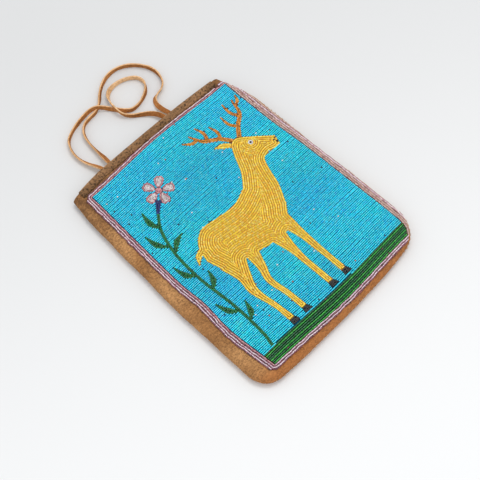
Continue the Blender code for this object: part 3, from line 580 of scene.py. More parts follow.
def make_thong(name, grain, flesh):
    """A flat strip of hide along its route, smooth on one face and rough on the other."""
    route = np.array(THONG_ROUTES[name]) * MM
    fine = smooth_curve(route, 16)
    spots = np.arange(len(fine)) / 16.0
    run = run_of(fine)
    stops = np.linspace(0.0, run[-1], round(run[-1] / (1.1 * MM)) + 1)
    line = spots_at(stops, run, fine)
    spot = np.interp(stops, run, spots)
    keys = np.array(THONG_ROLLS[name], float)
    roll = np.radians(np.interp(spot, keys[:, 0], keys[:, 1]))
    roll = np.pad(roll, ROLL_SPAN // 2, mode="edge")
    roll = np.convolve(roll, np.ones(ROLL_SPAN) / float(ROLL_SPAN), mode="valid")
    seed = 3 if name == "thong_inner" else 8
    roll = roll + 0.16 * waves(stops, stops * 0.0, 0.03, seed)
    ahead = unit(np.gradient(line, axis=0))
    flat = unit(np.column_stack([to_left(ahead), np.zeros(len(line))]))
    upward = np.cross(ahead, flat)
    across = np.cos(roll)[:, None] * flat + np.sin(roll)[:, None] * upward
    out = np.cross(across, ahead)
    end = np.minimum(stops, stops[-1] - stops)
    half = THONG_WIDTH / 2.0 * (0.7 + 0.3 * smoothstep(end, 0.018, 0.034))
    half = half * (1.0 + 0.05 * waves(stops, stops * 0.0, 0.02, seed + 1))
    deep = THONG_THICK / 2.0 * (1.0 + 0.1 * waves(stops, stops * 0.0, 0.015, seed + 2))
    low = half * np.abs(np.sin(roll)) + 1.06 * deep * np.abs(np.cos(roll)) - line[:, 2]
    low = np.pad(np.maximum(low, 0.0), 8, mode="edge")
    reach = np.lib.stride_tricks.sliding_window_view(low, 9).max(axis=1)
    line[:, 2] += np.convolve(reach, np.ones(9) / 9.0, mode="valid")
    section = ((-1.0, -0.45), (-0.9, -1.0), (-0.62, -1.06), (0.62, -1.06), (0.9, -1.0), (1.0, -0.45),
               (1.0, 0.45), (0.9, 1.0), (0.62, 1.06), (-0.62, 1.06), (-0.9, 1.0), (-1.0, 0.45))
    rings = [line + across * (half * a)[:, None] + out * (deep * b)[:, None] for a, b in section]
    points = np.stack(rings, axis=1)
    sides = len(section)
    which = [0 if 1 <= k <= 3 else 1 for k in range(sides)] * (len(line) - 1) + [1, 1]
    strip = name.replace("thong_", "thong_strip_")
    faces = tube_faces(len(line), sides)
    made = make_object(strip, points.reshape(-1, 3), faces, (grain, flesh), which)
    made.data.set_sharp_from_angle(angle=math.radians(50.0))
    settle(made, "thong_hide", name)
    leaves_at = tuple(round(value * MM, 4) for value in THONG_ROUTES[name][AT_MOUTH])
    return made


# Beads

BEAD_TURNS = np.radians((-12.0, 42.0, 90.0, 138.0, 192.0))
BEAD_STATIONS = ((-0.5, 0.6), (-0.3, 1.0), (0.3, 1.0), (0.5, 0.6))
BEAD_FLAT = 0.68
CELL_MARGIN = 0.2

# How close rows may come, and how thin a field may be, as shares of the row pitch
ROW_GAP = 0.72
NEXT_GAP = 0.66
MIDDLE_GAP = 0.6
THIN = 0.34
MOST_BEADS = 400
DEPTH_SLACK = 0.3 * MM


class Beads:
    """Beads of one kind, kept as rows of centre, direction, length, radius and colour."""

    def __init__(self):
        self.rows = []

    def add(self, points, angles, colours, lengths=BEAD_L, radii=BEAD_R, z=BEAD_Z):
        row = np.zeros((len(points), 9))
        row[:, :2] = points
        row[:, 2] = z
        row[:, 3] = angles
        row[:, 4] = lengths
        row[:, 5] = radii
        row[:, 6:] = colours
        self.rows.append(row)

    def table(self):
        return np.vstack(self.rows)


def bead_mesh(name, rows, material):
    """One mesh of separate closed beads, with a colour and a small patch of UV space for each."""
    count = len(rows)
    sides, rings = len(BEAD_TURNS), len(BEAD_STATIONS)
    turn = np.random.default_rng(len(name) * 131 + count)
    x = np.repeat([s for s, _ in BEAD_STATIONS], sides)
    fat = np.repeat([f for _, f in BEAD_STATIONS], sides)
    y, z = np.tile(np.cos(BEAD_TURNS), rings) * fat, np.tile(np.sin(BEAD_TURNS), rings) * fat
    angle = rows[:, 3] + turn.normal(0.0, 0.05, count)
    pitch = turn.normal(0.0, 0.05, count)
    length = rows[:, 4] * turn.normal(1.0, 0.04, count)
    radius = rows[:, 5] * turn.normal(1.0, 0.035, count)
    height = rows[:, 2] + turn.normal(0.0, 0.05 * MM, count)
    bx, by = x[None] * length[:, None], y[None] * radius[:, None]
    bz = z[None] * BEAD_FLAT * radius[:, None]
    tx = bx - bz * pitch[:, None]
    px = rows[:, 0, None] + tx * np.cos(angle)[:, None] - by * np.sin(angle)[:, None]
    py = rows[:, 1, None] + tx * np.sin(angle)[:, None] + by * np.cos(angle)[:, None]
    pz = height[:, None] + bz + bx * pitch[:, None]
    points = np.stack([px, py, pz], axis=2).reshape(-1, 3)
    faces = [face[::-1] for face in tube_faces(rings, sides)]
    per_bead = np.concatenate(faces)
    sizes = [len(face) for face in faces]
    base = np.arange(count)[:, None] * sides * rings
    loops = (per_bead[None] + base).ravel()
    totals = np.tile(sizes, count)
    starts = np.concatenate([[0], np.cumsum(totals)[:-1]])
    mesh = bpy.data.meshes.new(name)
    mesh.vertices.add(len(points))
    mesh.vertices.foreach_set("co", points.ravel())
    mesh.loops.add(len(loops))
    mesh.loops.foreach_set("vertex_index", loops.astype(np.int32))
    mesh.polygons.add(len(totals))
    mesh.polygons.foreach_set("loop_start", starts.astype(np.int32))
    mesh.polygons.foreach_set("loop_total", totals.astype(np.int32))
    mesh.update(calc_edges=True)
    paint = mesh.attributes.new("bead_and_shade_colour", "FLOAT_COLOR", "POINT")
    colours = np.ones((count, sides * rings, 4))
    colours[:, :, :3] = rows[:, None, 6:]
    paint.data.foreach_set("color", colours.ravel())
    cells = math.ceil(math.sqrt(count))
    spot = np.arange(count)
    corner = np.stack([spot % cells, spot // cells], axis=1) / cells
    patch = []
    for r in range(rings - 1):
        for k in range(sides):
            u0, u1 = k / sides, (k + 1) / sides
            v0, v1 = 0.7 * r / (rings - 1), 0.7 * (r + 1) / (rings - 1)
            patch += [(u0, v1), (u1, v1), (u1, v0), (u0, v0)]
    for side in (0.25, 0.75):
        patch += [(side + 0.15 * math.cos(a), 0.87 + 0.12 * math.sin(a))
                  for a in np.linspace(0.0, 2.0 * math.pi, sides + 1)[:-1]]
    patch = (CELL_MARGIN + (1.0 - 2.0 * CELL_MARGIN) * np.array(patch)) / cells
    layer = mesh.uv_layers.new(name="OFBake")
    layer.data.foreach_set("uv", (corner[:, None] + patch[None]).reshape(-1))
    mesh.materials.append(material)
    mesh.shade_smooth()
    mesh.validate()
    return add_to_scene(name, mesh)


def inside(polygon, points):
    """Which points lie inside a polygon, by counting the sides that a ray crosses."""
    polygon = np.asarray(polygon, float)
    low, high = polygon.min(axis=0), polygon.max(axis=0)
    found = np.zeros(len(points), bool)
    near = np.flatnonzero(np.all((points >= low) & (points <= high), axis=1))
    some = points[near]
    odd = np.zeros(len(some), bool)
    for a, b in zip(polygon, np.roll(polygon, -1, axis=0)):
        if a[1] == b[1]:
            continue
        crosses = (a[1] > some[:, 1]) != (b[1] > some[:, 1])
        odd ^= crosses & (some[:, 0] < (b[0] - a[0]) * (some[:, 1] - a[1]) / (b[1] - a[1]) + a[0])
    found[near] = odd
    return found


def stroke_frame(path, widths, steps):
    """The middle line of a stroke, with its half width and the direction to its left."""
    line = smooth_curve(path, steps)
    half = np.interp(np.arange(len(line)) / steps, np.arange(len(widths)), widths) / 2.0
    return line, half, to_left(unit(np.gradient(line, axis=0)))


def ribbon_polygon(path, widths, steps=6):
    """The outline of a stroke along a path, with a width at each of its points."""
    line, half, side = stroke_frame(path, widths, steps)
    side = side * half[:, None]
    return np.vstack([line + side, (line - side)[::-1]])


class Region:
    """A field of the picture: one or more outlines that are filled with beads together."""

    def __init__(self, name, polygons, palette, pitch=ROW, strokes=()):
        self.name = name
        self.polygons = [*polygons, *[ribbon_polygon(*stroke) for stroke in strokes]]
        self.palette = palette
        self.pitch = pitch
        self.strokes = strokes

    def holds(self, points):
        found = np.zeros(len(points), bool)
        for polygon in self.polygons:
            found |= inside(polygon, points)
        return found


def region_label(regions, points):
    """The index of the first region that holds each point, or -1 for the ground."""
    label = np.full(len(points), -1)
    for number in range(len(regions) - 1, -1, -1):
        label[regions[number].holds(points)] = number
    return label


class Cover:
    """A grid of square cells that remembers where beads already lie."""

    def __init__(self, cell=2.0 * MM):
        self.cell = cell
        self.spots = {}

    def key(self, x, y):
        return int(math.floor(x / self.cell)), int(math.floor(y / self.cell))

    def put(self, x, y, line=0):
        self.spots.setdefault(self.key(x, y), []).append((x, y, line))

    def nearest(self, x, y, skip=None):
        """The distance to the nearest bead, leaving out the last few of one's own line."""
        i, j = self.key(x, y)
        best = 9.0
        for a in (i - 1, i, i + 1):
            for b in (j - 1, j, j + 1):
                for px, py, line in self.spots.get((a, b), ()):
                    if skip is not None and line in skip:
                        continue
                    best = min(best, math.hypot(px - x, py - y))
        return best


def stroke_rows(path, widths, pitch, steps=16):
    """The rows along a stroke: pairs from its edges inward, and one in the middle where it fits."""
    line, half, side = stroke_frame(path, widths, steps)
    count = np.maximum(1, np.round(2.0 * half / pitch)).astype(int)
    rows = [(count.max() // 2, np.zeros(len(line)), count % 2 == 1)]
    for order in range(count.max() // 2):
        out = half * (1.0 - (2.0 * order + 1.0) / count)
        rows += [(order, out, count >= 2 * order + 2), (order, -out, count >= 2 * order + 2)]
    for order, out, there in rows:
        for start, end in stretches(there):
            if end - start > 2:
                yield order, (line + side * out[:, None])[start:end]


def fill_strokes(regions, number):
    """Rows of beads along each stroke of a region, ended where an earlier stroke lies."""
    region = regions[number]
    placed = []
    for stroke, (path, widths) in enumerate(region.strokes):
        for order, line in stroke_rows(path, widths, region.pitch):
            run = run_of(line)
            count = max(1, round(run[-1] / BEAD_STEP))
            stops = (np.arange(count) + 0.5) / count * run[-1]
            spots = spots_at(stops, run, line)
            heading = spots_at(stops + 0.2 * MM, run, line) - spots_at(stops - 0.2 * MM, run, line)
            keep = region_label(regions, spots) == number
            for earlier in region.polygons[:stroke]:
                keep &= ~inside(earlier, spots)
            angle = np.arctan2(heading[:, 1], heading[:, 0])
            placed.append(np.column_stack([spots, angle, np.full(count, float(order))])[keep])
    return np.vstack(placed)


def region_edges(regions, number, low, high):
    """Points on the outlines where a region ends and another or the ground begins."""
    edges = []
    for polygon in [p for other in regions for p in other.polygons]:
        for a, b in zip(polygon, np.roll(polygon, -1, axis=0)):
            steps = max(1, int(np.linalg.norm(b - a) / (0.3 * MM)))
            edges.append(a + (b - a) * (np.arange(steps) / steps)[:, None])
    edges = np.vstack(edges)
    edges = edges[np.all((edges > low) & (edges < high), axis=1)]
    turns = np.radians((0.0, 90.0, 180.0, 270.0, 45.0, 225.0))
    ring = [(0.12 * MM * math.cos(a), 0.12 * MM * math.sin(a)) for a in turns]
    own = np.stack([region_label(regions, edges + offset) == number for offset in ring])
    return edges[own.any(axis=0) & ~own.all(axis=0)]


def fill_region(regions, number, grid_step=0.45 * MM):
    """Rows of beads that follow the outline of a region, from its edge to its middle."""
    region = regions[number]
    low = np.min([p.min(axis=0) for p in region.polygons], axis=0) - 2.0 * MM
    high = np.max([p.max(axis=0) for p in region.polygons], axis=0) + 2.0 * MM
    columns, rows = (np.ceil((high - low) / grid_step).astype(int) + 1)
    xs = low[0] + np.arange(columns) * grid_step
    ys = low[1] + np.arange(rows) * grid_step
    mesh_points = np.stack(np.meshgrid(xs, ys, indexing="ij"), axis=-1).reshape(-1, 2)
    mask = (region_label(regions, mesh_points) == number).reshape(columns, rows)
    edges = region_edges(regions, number, low, high)
    tree = KDTree(len(edges))
    for i, (x, y) in enumerate(edges):
        tree.insert((x, y, 0.0), i)
    tree.balance()
    deep = np.zeros((columns, rows))
    for i, j in zip(*np.nonzero(mask)):
        deep[i, j] = tree.find((xs[i], ys[j], 0.0))[2]
    slope_x, slope_y = np.gradient(deep, grid_step)

    def near(radius):
        cells = range(-radius, radius + 1)
        return [(a, b) for a in cells for b in cells if a * a + b * b <= radius * radius]

    wide = near(round(0.6 * region.pitch / grid_step))
    peak = np.max([np.roll(deep, shift, (0, 1)) for shift in wide], axis=0)
    double = 2.0 * np.arctan2(slope_y, slope_x)
    cosine = sum(np.roll(np.cos(double) * mask, shift, (0, 1)) for shift in near(3))
    sine = sum(np.roll(np.sin(double) * mask, shift, (0, 1)) for shift in near(3))
    along = 0.5 * np.arctan2(sine, cosine) + math.pi / 2.0

    def cell(x, y):
        return int((x - low[0]) / grid_step + 0.5), int((y - low[1]) / grid_step + 0.5)

    def look(x, y):
        u, v = (x - low[0]) / grid_step, (y - low[1]) / grid_step
        i, j = int(u), int(v)
        if i < 0 or j < 0 or i >= columns - 1 or j >= rows - 1:
            return 0.0, 0.0, 0.0
        u, v = u - i, v - j
        w = ((1 - u) * (1 - v), u * (1 - v), (1 - u) * v, u * v)
        cells = ((i, j), (i + 1, j), (i, j + 1), (i + 1, j + 1))
        return tuple(sum(k * table[c] for k, c in zip(w, cells)) for table in (deep, slope_x, slope_y))

    def onto(x, y, level):
        """The nearest spot at a given depth, or none."""
        for _ in range(4):
            d, gx, gy = look(x, y)
            size = math.hypot(gx, gy)
            if d <= 0.0 or size < 0.35:
                return None
            x += (level - d) * gx / size**2 * 0.8
            y += (level - d) * gy / size**2 * 0.8
        d, gx, gy = look(x, y)
        if abs(d - level) > DEPTH_SLACK or peak[cell(x, y)] < level + THIN * region.pitch:
            return None
        return x, y, math.atan2(gy, gx) + math.pi / 2.0

    def along_level(x, y, heading):
        """The next bead of a row that keeps its depth, or none where the row ends."""
        new = onto(x + BEAD_STEP * math.cos(heading), y + BEAD_STEP * math.sin(heading), level)
        if not new:
            return None
        nx, ny, turned = new
        if math.cos(turned - heading) < 0.0:
            turned += math.pi
        if math.cos(turned - heading) < 0.2 or math.hypot(nx - x, ny - y) < 0.9 * MM:
            return None
        return nx, ny, turned

    def along_middle(x, y, heading):
        """The next bead of a row in the middle, drawn to the deepest spots, or none where it ends."""
        x, y = x + BEAD_STEP * math.cos(heading), y + BEAD_STEP * math.sin(heading)
        d, gx, gy = look(x, y)
        x, y = x + 0.35 * MM * gx, y + 0.35 * MM * gy
        if d < THIN * region.pitch:
            return None
        turned = along[cell(x, y)]
        return x, y, turned if math.cos(turned - heading) > 0.0 else turned + math.pi

    cover = Cover()
    placed = []

    def lay_row(row, start, order, step, gap):
        """A row of beads both ways from its start, until it ends or meets another row."""
        for way in (1.0, -1.0):
            x, y, heading = start
            if way > 0.0:
                placed.append((x, y, heading, order))
                cover.put(x, y, (row, 0))
            else:
                heading += math.pi
            for count in range(1, MOST_BEADS):
                new = step(x, y, heading)
                own = {(row, way * (count - 1)), (row, way * (count - 2))}
                if new is None or cover.nearest(new[0], new[1], own) < gap * region.pitch:
                    break
                x, y, heading = new
                placed.append((x, y, heading, order))
                cover.put(x, y, (row, way * count))

    row = 0
    levels = np.arange(0.5 * region.pitch, deep.max() + 0.2 * region.pitch, region.pitch)
    for order, level in enumerate(levels):
        for i, j in np.argwhere(np.abs(deep - level) < DEPTH_SLACK):
            seed = onto(xs[i], ys[j], level)
            if not seed or cover.nearest(seed[0], seed[1]) < ROW_GAP * region.pitch:
                continue
            row += 1
            lay_row(row, seed, order, along_level, NEXT_GAP)
    spare = np.argwhere(deep > THIN * region.pitch)
    for i, j in spare[np.argsort(-deep[spare[:, 0], spare[:, 1]], kind="stable")]:
        if cover.nearest(xs[i], ys[j]) < MIDDLE_GAP * region.pitch:
            continue
        row += 1
        lay_row(row, (xs[i], ys[j], along[i, j]), len(levels), along_middle, MIDDLE_GAP)
    return np.array(placed).reshape(-1, 4)


# Colours of the beads, as seen on screen

TURQUOISE = (rgb(26, 224, 255), rgb(16, 214, 255), rgb(70, 232, 252), rgb(6, 194, 250))
GOLD = (rgb(255, 214, 62), rgb(255, 203, 50), rgb(255, 224, 100), rgb(248, 186, 48))
AMBER = (rgb(222, 142, 30), rgb(206, 124, 22), rgb(236, 164, 52), rgb(150, 84, 18))
BLACK = (rgb(12, 12, 14), rgb(22, 20, 22))
WHITE = (rgb(240, 238, 236), rgb(230, 226, 226))
PETAL = (rgb(224, 212, 212), rgb(232, 222, 222), rgb(206, 192, 196))
ROSE = (rgb(206, 138, 144), rgb(190, 120, 130), rgb(218, 160, 160))
NAVY = (rgb(8, 44, 118), rgb(6, 34, 98), rgb(16, 60, 136))
LEAF = (rgb(8, 112, 54), rgb(6, 92, 44), rgb(20, 130, 62))
BRIGHT_GREEN = (rgb(44, 166, 52), rgb(32, 148, 44), rgb(62, 178, 66))
DARK_GREEN = (rgb(6, 98, 48), rgb(4, 80, 38), rgb(14, 116, 56))
WINE = (rgb(118, 54, 72), rgb(96, 42, 54), rgb(142, 72, 84), rgb(70, 32, 40))
LAVENDER = (rgb(232, 208, 218), rgb(220, 190, 204), rgb(242, 226, 230), rgb(194, 148, 162))
PINK = (rgb(206, 146, 150), rgb(192, 128, 136), rgb(220, 176, 172), rgb(170, 96, 106))
SAND = (rgb(214, 184, 170), rgb(200, 166, 154), rgb(226, 200, 188), rgb(176, 128, 120))
CLAY = (rgb(178, 132, 124), rgb(162, 114, 108), rgb(192, 148, 138), rgb(140, 92, 92))
ODD = (rgb(228, 238, 240), rgb(24, 62, 78), rgb(186, 120, 110))


UNEVEN = 0.05 * MM
COMMONEST_FIRST = (0.5, 0.22, 0.18, 0.1)


def pick(palette, count, weights=COMMONEST_FIRST):
    """Bead colours drawn from a palette, each a little lighter or darker."""
    table = np.array(palette)
    weights = np.array(weights[: len(palette)])
    weights = weights / np.sum(weights)
    chosen = table[rng.choice(len(table), count, p=weights)]
    return np.clip(chosen * rng.normal(1.0, 0.045, (count, 1)), 0.0, 1.0)


# The beaded picture, with the outlines that the solids have
STANDING_Y = FIELD_Y0 + 14.5 * MM
HOOF_HEIGHT = 6.5 * MM
HEEL = 1.0 * MM
TOE = 2.5 * MM
GRASS_HEIGHT = 12.9 * MM
GRASS_ROWS = 7
BRIGHT_ROWS = (0, 2, 5)
EDGE_GAP = 0.5 * MM


def disc(centre, radius):
    turns = np.linspace(0.0, 2.0 * math.pi, 17)[:-1]
    return centre + radius * np.stack([np.cos(turns), np.sin(turns)], axis=1)


def between(side_a, side_b, steps=6):
    return np.vstack([smooth_curve(side_a, steps), smooth_curve(side_b, steps)[::-1]])


def stag_outlines():
    back = ((15.8, 47.8), (18.9, 54.9), (26.8, 59.2), (37.4, 58.4), (48.9, 57.6), (60.0, 60.4))
    belly = ((18.4, 40.4), (26.3, 38.0), (35.8, 37.3), (46.3, 35.3), (57.9, 34.9), (70.0, 43.9))
    body = between(on_field(back), on_field(belly))
    nape = ((58.9, 59.6), (65.8, 65.9), (70.5, 72.9), (74.2, 77.3),
            (78.9, 78.4), (85.3, 74.9), (91.1, 71.0), (95.3, 68.2))
    throat = ((68.9, 43.1), (74.7, 51.0), (77.9, 58.4), (80.5, 63.1),
              (83.2, 64.3), (86.3, 64.7), (90.0, 63.9), (93.7, 63.9))
    head = between(on_field(nape), on_field(throat))
    ear_path = on_field(((74.2, 77.3), (70.5, 79.6), (65.8, 81.2)))
    ear = ribbon_polygon(ear_path, np.array((5.5, 6.5, 1.0)) * MM)
    tail_path = on_field(((18.4, 52.2), (14.7, 51.4), (11.6, 48.6)))
    tail = ribbon_polygon(tail_path, np.array((8.0, 6.5, 1.6)) * MM)
    gold, hooves = [body, head, ear, tail], []
    legs = (
        (((17.4, 41.6), (19.5, 33.7), (18.4, 26.7), (21.1, 16.5)),
         ((31.6, 38.4), (26.8, 32.2), (23.2, 25.5), (24.2, 16.5)), (21.6, 25.3)),
        (((31.8, 38.4), (31.1, 31.4), (28.9, 25.1), (30.5, 16.5)),
         ((39.5, 37.6), (35.8, 30.6), (32.6, 24.7), (33.7, 16.5)), (30.8, 34.2)),
        (((47.4, 36.1), (49.5, 28.2), (50.0, 21.6), (50.3, 15.7)),
         ((56.8, 35.7), (54.7, 28.2), (53.7, 21.6), (53.7, 15.7)), (50.5, 53.9)),
        (((57.9, 35.7), (59.5, 29.0), (60.0, 21.6), (60.3, 15.7)),
         ((65.5, 41.5), (64.2, 29.8), (63.7, 21.6), (63.7, 15.7)), (60.5, 63.9)),
    )
    for rear, front, ankle in legs:
        ends = np.array([(on_field((across, 0.0))[0], STANDING_Y + HOOF_HEIGHT) for across in ankle])
        gold.append(between(np.vstack([on_field(rear), ends[0]]), np.vstack([on_field(front), ends[1]])))
        heel, toe = ends[0] - (HEEL, HOOF_HEIGHT), ends[1] + (TOE, -HOOF_HEIGHT)
        hooves.append(np.array([ends[0], heel, toe, ends[1]]))
    return gold, hooves


def antler_strokes(beam, tines):
    """A beam and its tines, each as a path with a width at each of its points."""
    strokes = [(on_field(beam), np.array((5.0, 4.6, 4.2, 1.8)) * MM)]
    return strokes + [(on_field(t), np.array((3.6, 3.4, 1.6)) * MM) for t in tines]


def plant_parts():
    """The heart and petals as outlines, and the calyx, stem and leaves as strokes."""
    centre = on_field((27.4, 83.5))
    heart = disc(centre, 3.6 * MM)
    petals = []
    for number in range(5):
        angle = math.radians(45.0 + 72.0 * number)
        out = np.array([math.cos(angle), math.sin(angle)])
        path = [centre + out * (3.9 + 13.0 * share) * MM for share in (0.0, 0.35, 0.75, 1.0)]
        petals.append(ribbon_polygon(path, 11.0 * MM * np.array((0.34, 0.8, 0.98, 0.5))))
    calyx = (on_field(((23.2, 80.4), (20.5, 78.4), (17.4, 76.1))), np.array((6.5, 5.0, 3.0)) * MM)
    path = on_field(((17.4, 76.1), (11.6, 69.8), (7.4, 58.8), (6.3, 43.9),
                     (7.9, 27.5), (7.4, 12.5), (5.8, 5.5)))
    path[-1, 1] = STANDING_Y
    stem = (path, np.full(7, 3.0 * MM))
    leaves = (
        ((8.2, 58.8), (12.6, 62.0), (18.4, 63.5)), ((7.9, 62.7), (4.2, 66.7), (3.2, 72.2)),
        ((6.1, 46.3), (2.6, 49.4), (1.1, 54.9)), ((6.8, 37.6), (10.5, 40.4), (12.6, 44.7)),
        ((7.6, 24.3), (3.7, 27.5), (1.6, 32.9)), ((8.2, 18.8), (11.6, 21.2), (13.7, 25.9)),
        ((12.6, 70.6), (10.5, 75.3), (11.6, 80.8)),
    )
    leaves = [(on_field(p), np.array((1.8, 6.4, 1.2)) * MM) for p in leaves]
    return heart, petals, calyx, stem, leaves


def bow(x):
    """The share of its bow that a row has, from 0 at the ground's sides to 1 in the middle."""
    share = np.clip((x - FIELD_X0) / (FIELD_X1 - FIELD_X0), 0.0, 1.0)
    return np.sin(math.pi * share) ** 2


def mouth_bulge(x):
    return 3.6 * MM * bow(x)


def foot_bulge(x):
    return 3.4 * MM * bow(x)


def ground_y(x, share):
    """Height on the ground of a row, from 0 at its foot to 1 at its top."""
    low, high = FIELD_Y0 - foot_bulge(x), FIELD_Y1 + mouth_bulge(x)
    return low + (high - low) * share


def grass_share(x):
    """The share of the ground's height that the grass reaches, a little uneven from end to end."""
    across = (x - FIELD_X0) / (FIELD_X1 - FIELD_X0)
    reach = GRASS_HEIGHT + foot_bulge(x) + 1.2 * MM * np.sin(2.0 * math.pi * (across + 0.15))
    return reach / (FIELD_HEIGHT + foot_bulge(x) + mouth_bulge(x))


def run_beads(beads, line, palette, weights=COMMONEST_FIRST, light=1.0, radius=BEAD_R, z=BEAD_Z):
    """A row of evenly spaced beads that fills a line of points from end to end."""
    run = run_of(line)
    if run[-1] < 0.75 * BEAD_STEP:
        return
    count = max(1, round(run[-1] / BEAD_STEP))
    stops = (np.arange(count) + 0.5) / count * run[-1] + rng.normal(0.0, UNEVEN, count)
    points = spots_at(stops, run, line)
    ahead = spots_at(stops + 0.3 * MM, run, line) - spots_at(stops - 0.3 * MM, run, line)
    side = unit(to_left(ahead))
    points = points + side * rng.normal(0.0, UNEVEN, count)[:, None]
    colours = np.clip(pick(palette, count, weights) * light, 0.0, 1.0)
    lengths = np.minimum(run[-1] / count, BEAD_STEP) * 0.97
    beads.add(points, np.arctan2(ahead[:, 1], ahead[:, 0]), colours, lengths, radius, z)


def make_ground(regions):
    """Straight rows across the bag, cut where a field of the picture lies in them."""
    beads = Beads()
    rows = round((FIELD_Y1 - FIELD_Y0) / ROW)
    fine = 0.22 * MM
    for number in range(rows):
        share = (number + 0.5) / rows
        y_mid = ground_y(0.0, share)
        x = np.arange(float(field_left(y_mid)) + EDGE_GAP, float(field_right(y_mid)) - EDGE_GAP, fine)
        y = ground_y(x, share) + 0.22 * MM * waves(x, x * 0.0 + number * 0.4, 0.05, 71)
        line = np.stack([x, y], axis=1)
        free = (region_label(regions, line) < 0) & (share > grass_share(x))
        light = rng.normal(1.0, 0.02)
        for start, end in stretches(free):
            part = line[start:end]
            if len(part) < 3:
                continue
            cloud = 1.0 + 0.09 * float(waves(part[:, 0].mean(), part[:, 1].mean(), 0.12, 12))
            run_beads(beads, part, TURQUOISE, (0.62, 0.24, 0.1, 0.04), light * cloud)
    table = beads.table()
    hue = waves(table[:, 0], table[:, 1], 0.085, 13)[:, None] * np.array([[0.0, 0.05, -0.045]])
    table[:, 6:] = np.clip(table[:, 6:] * (1.0 + hue), 0.0, 1.0)
    odd = rng.choice(len(table), round(len(table) * 0.004), replace=False)
    table[odd, 6:] = np.array(ODD)[rng.choice(3, len(odd), p=(0.5, 0.3, 0.2))]
    return table


def make_grass():
    """Rows of dark and bright green beads along the foot of the ground."""
    beads = Beads()
    x = np.linspace(float(field_left(STANDING_Y)), float(field_right(STANDING_Y)), 700)
    top = grass_share(x) * (FIELD_HEIGHT + foot_bulge(x) + mouth_bulge(x))
    for number in range(GRASS_ROWS):
        y = FIELD_Y0 - foot_bulge(x) + top * (number + 0.5) / GRASS_ROWS
        reach = (x > field_left(y) + EDGE_GAP) & (x < field_right(y) - EDGE_GAP)
        palette = (BRIGHT_GREEN if number in BRIGHT_ROWS else DARK_GREEN) + WINE[:1]
        run_beads(beads, np.stack([x, y], axis=1)[reach], palette, (0.5, 0.28, 0.212, 0.008))
    return beads.table()


def ground_outline():
    """The edge of the ground once round, from its lower left corner up the left side."""
    y = np.linspace(FIELD_Y0, FIELD_Y1, 240)
    x = np.linspace(float(field_left(FIELD_Y1)), float(field_right(FIELD_Y1)), 180)
    left = np.stack([field_left(y), y], axis=1)
    top = np.stack([x, ground_y(x, 1.0)], axis=1)
    right = np.stack([field_right(y), y], axis=1)[::-1]
    x = np.linspace(float(field_right(FIELD_Y0)), float(field_left(FIELD_Y0)), 180)
    foot = np.stack([x, ground_y(x, 0.0)], axis=1)
    return np.vstack([left[:-1], top[:-1], right[:-1], foot[:-1]])


def set_off(loop, distance):
    """The loop moved outward by a distance, turning its corners on an arc."""
    step = np.roll(loop, -1, axis=0) - loop
    heading = np.unwrap(np.arctan2(step[:, 1], step[:, 0]))
    before = np.roll(heading, 1)
    out = []
    for spot, old, new in zip(loop, before, heading):
        turn = (new - old + math.pi) % (2.0 * math.pi) - math.pi
        sharp = abs(turn) > 0.3
        for share in np.linspace(0.0, 1.0, int(abs(turn) / 0.12) + 1) if sharp else (0.5,):
            angle = old + turn * share + math.pi / 2.0
            out.append(spot + distance * np.array([math.cos(angle), math.sin(angle)]))
    return np.array(out)


def side_of(points):
    """Which side of the ground each point lies beyond: 0 left, 1 top, 2 right, 3 foot."""
    x, y = points[:, 0], points[:, 1]
    beyond = (field_left(y) - x, y - ground_y(x, 1.0), x - field_right(y), ground_y(x, 0.0) - y)
    return np.argmax(np.stack(beyond), axis=0)


# The rows of the borders: distance from the ground (mm), bead radius (mm), drop (mm), and the
# palettes on the left, the top, the right and the foot, with none where the row isn't there
BORDER_ROWS = (
    (0.95, 0.66, 0.0, (PINK, PINK, SAND, LAVENDER)),
    (2.15, 0.64, 0.1, (WINE, WINE, CLAY, WINE)),
    (3.35, 0.66, 0.0, (LAVENDER, LAVENDER, SAND, LAVENDER)),
    (4.55, 0.64, 0.1, (WINE, WINE, CLAY, WINE)),
    (5.75, 0.66, 0.0, (LAVENDER, None, LAVENDER, None)),
    # On the left this outermost row is wine as painted shade: dark beads for the shadow line at the
    # border's outer edge.
    (6.95, 0.62, 0.1, (WINE, None, CLAY, None)),
    (8.1, 0.64, 0.1, (None, None, SAND, None)),
)
BORDERS = ("border_left", "border_top", "border_right", "border_bottom")


def make_borders():
    """Rows of pale, pink and wine beads that run round the ground and turn its corners."""
    outline = ground_outline()
    found = {name: [] for name in BORDERS}
    for number, (offset, radius, drop, palettes) in enumerate(BORDER_ROWS):
        line = set_off(outline, offset * MM)
        line = np.vstack([line, line[:1]])
        run = run_of(line)
        stops = np.arange(0.0, run[-1], 0.3 * MM)
        line = spots_at(stops, run, line)
        ahead = unit(np.roll(line, -1, axis=0) - line)
        sway = 0.45 * MM * waves(line[:, 0], line[:, 1], 0.014, 50 + number // 3)
        line = line + to_left(ahead) * sway[:, None]
        side = side_of(line)
        there = np.array([p is not None for p in palettes])[side]
        if palettes[3] is None:
            there &= (line[:, 1] < FIELD_Y1 + 1.0 * MM) & (line[:, 1] > FIELD_Y0 - 1.0 * MM)
        there &= (distance_to_seam(line) > 1.7 * MM) & inside(SEAM, line)
        there &= (below_strip(line) > 0.9 * MM) | (line[:, 0] > right_edge(line[:, 1]) - BINDING_END)
        for start, end in stretches(there):
            if end - start < 12:
                continue
            beads = Beads()
            run_beads(beads, line[start:end], PINK, z=BEAD_Z - drop * MM, radius=radius * MM)
            table = beads.table()
            where = side_of(table[:, :2])
            for k, name in enumerate(BORDERS):
                rows = table[where == k]
                if len(rows) and palettes[k] is not None:
                    rows[:, 6:] = pick(palettes[k], len(rows))
                    found[name].append(rows)
    return {name: np.vstack(rows) for name, rows in found.items()}


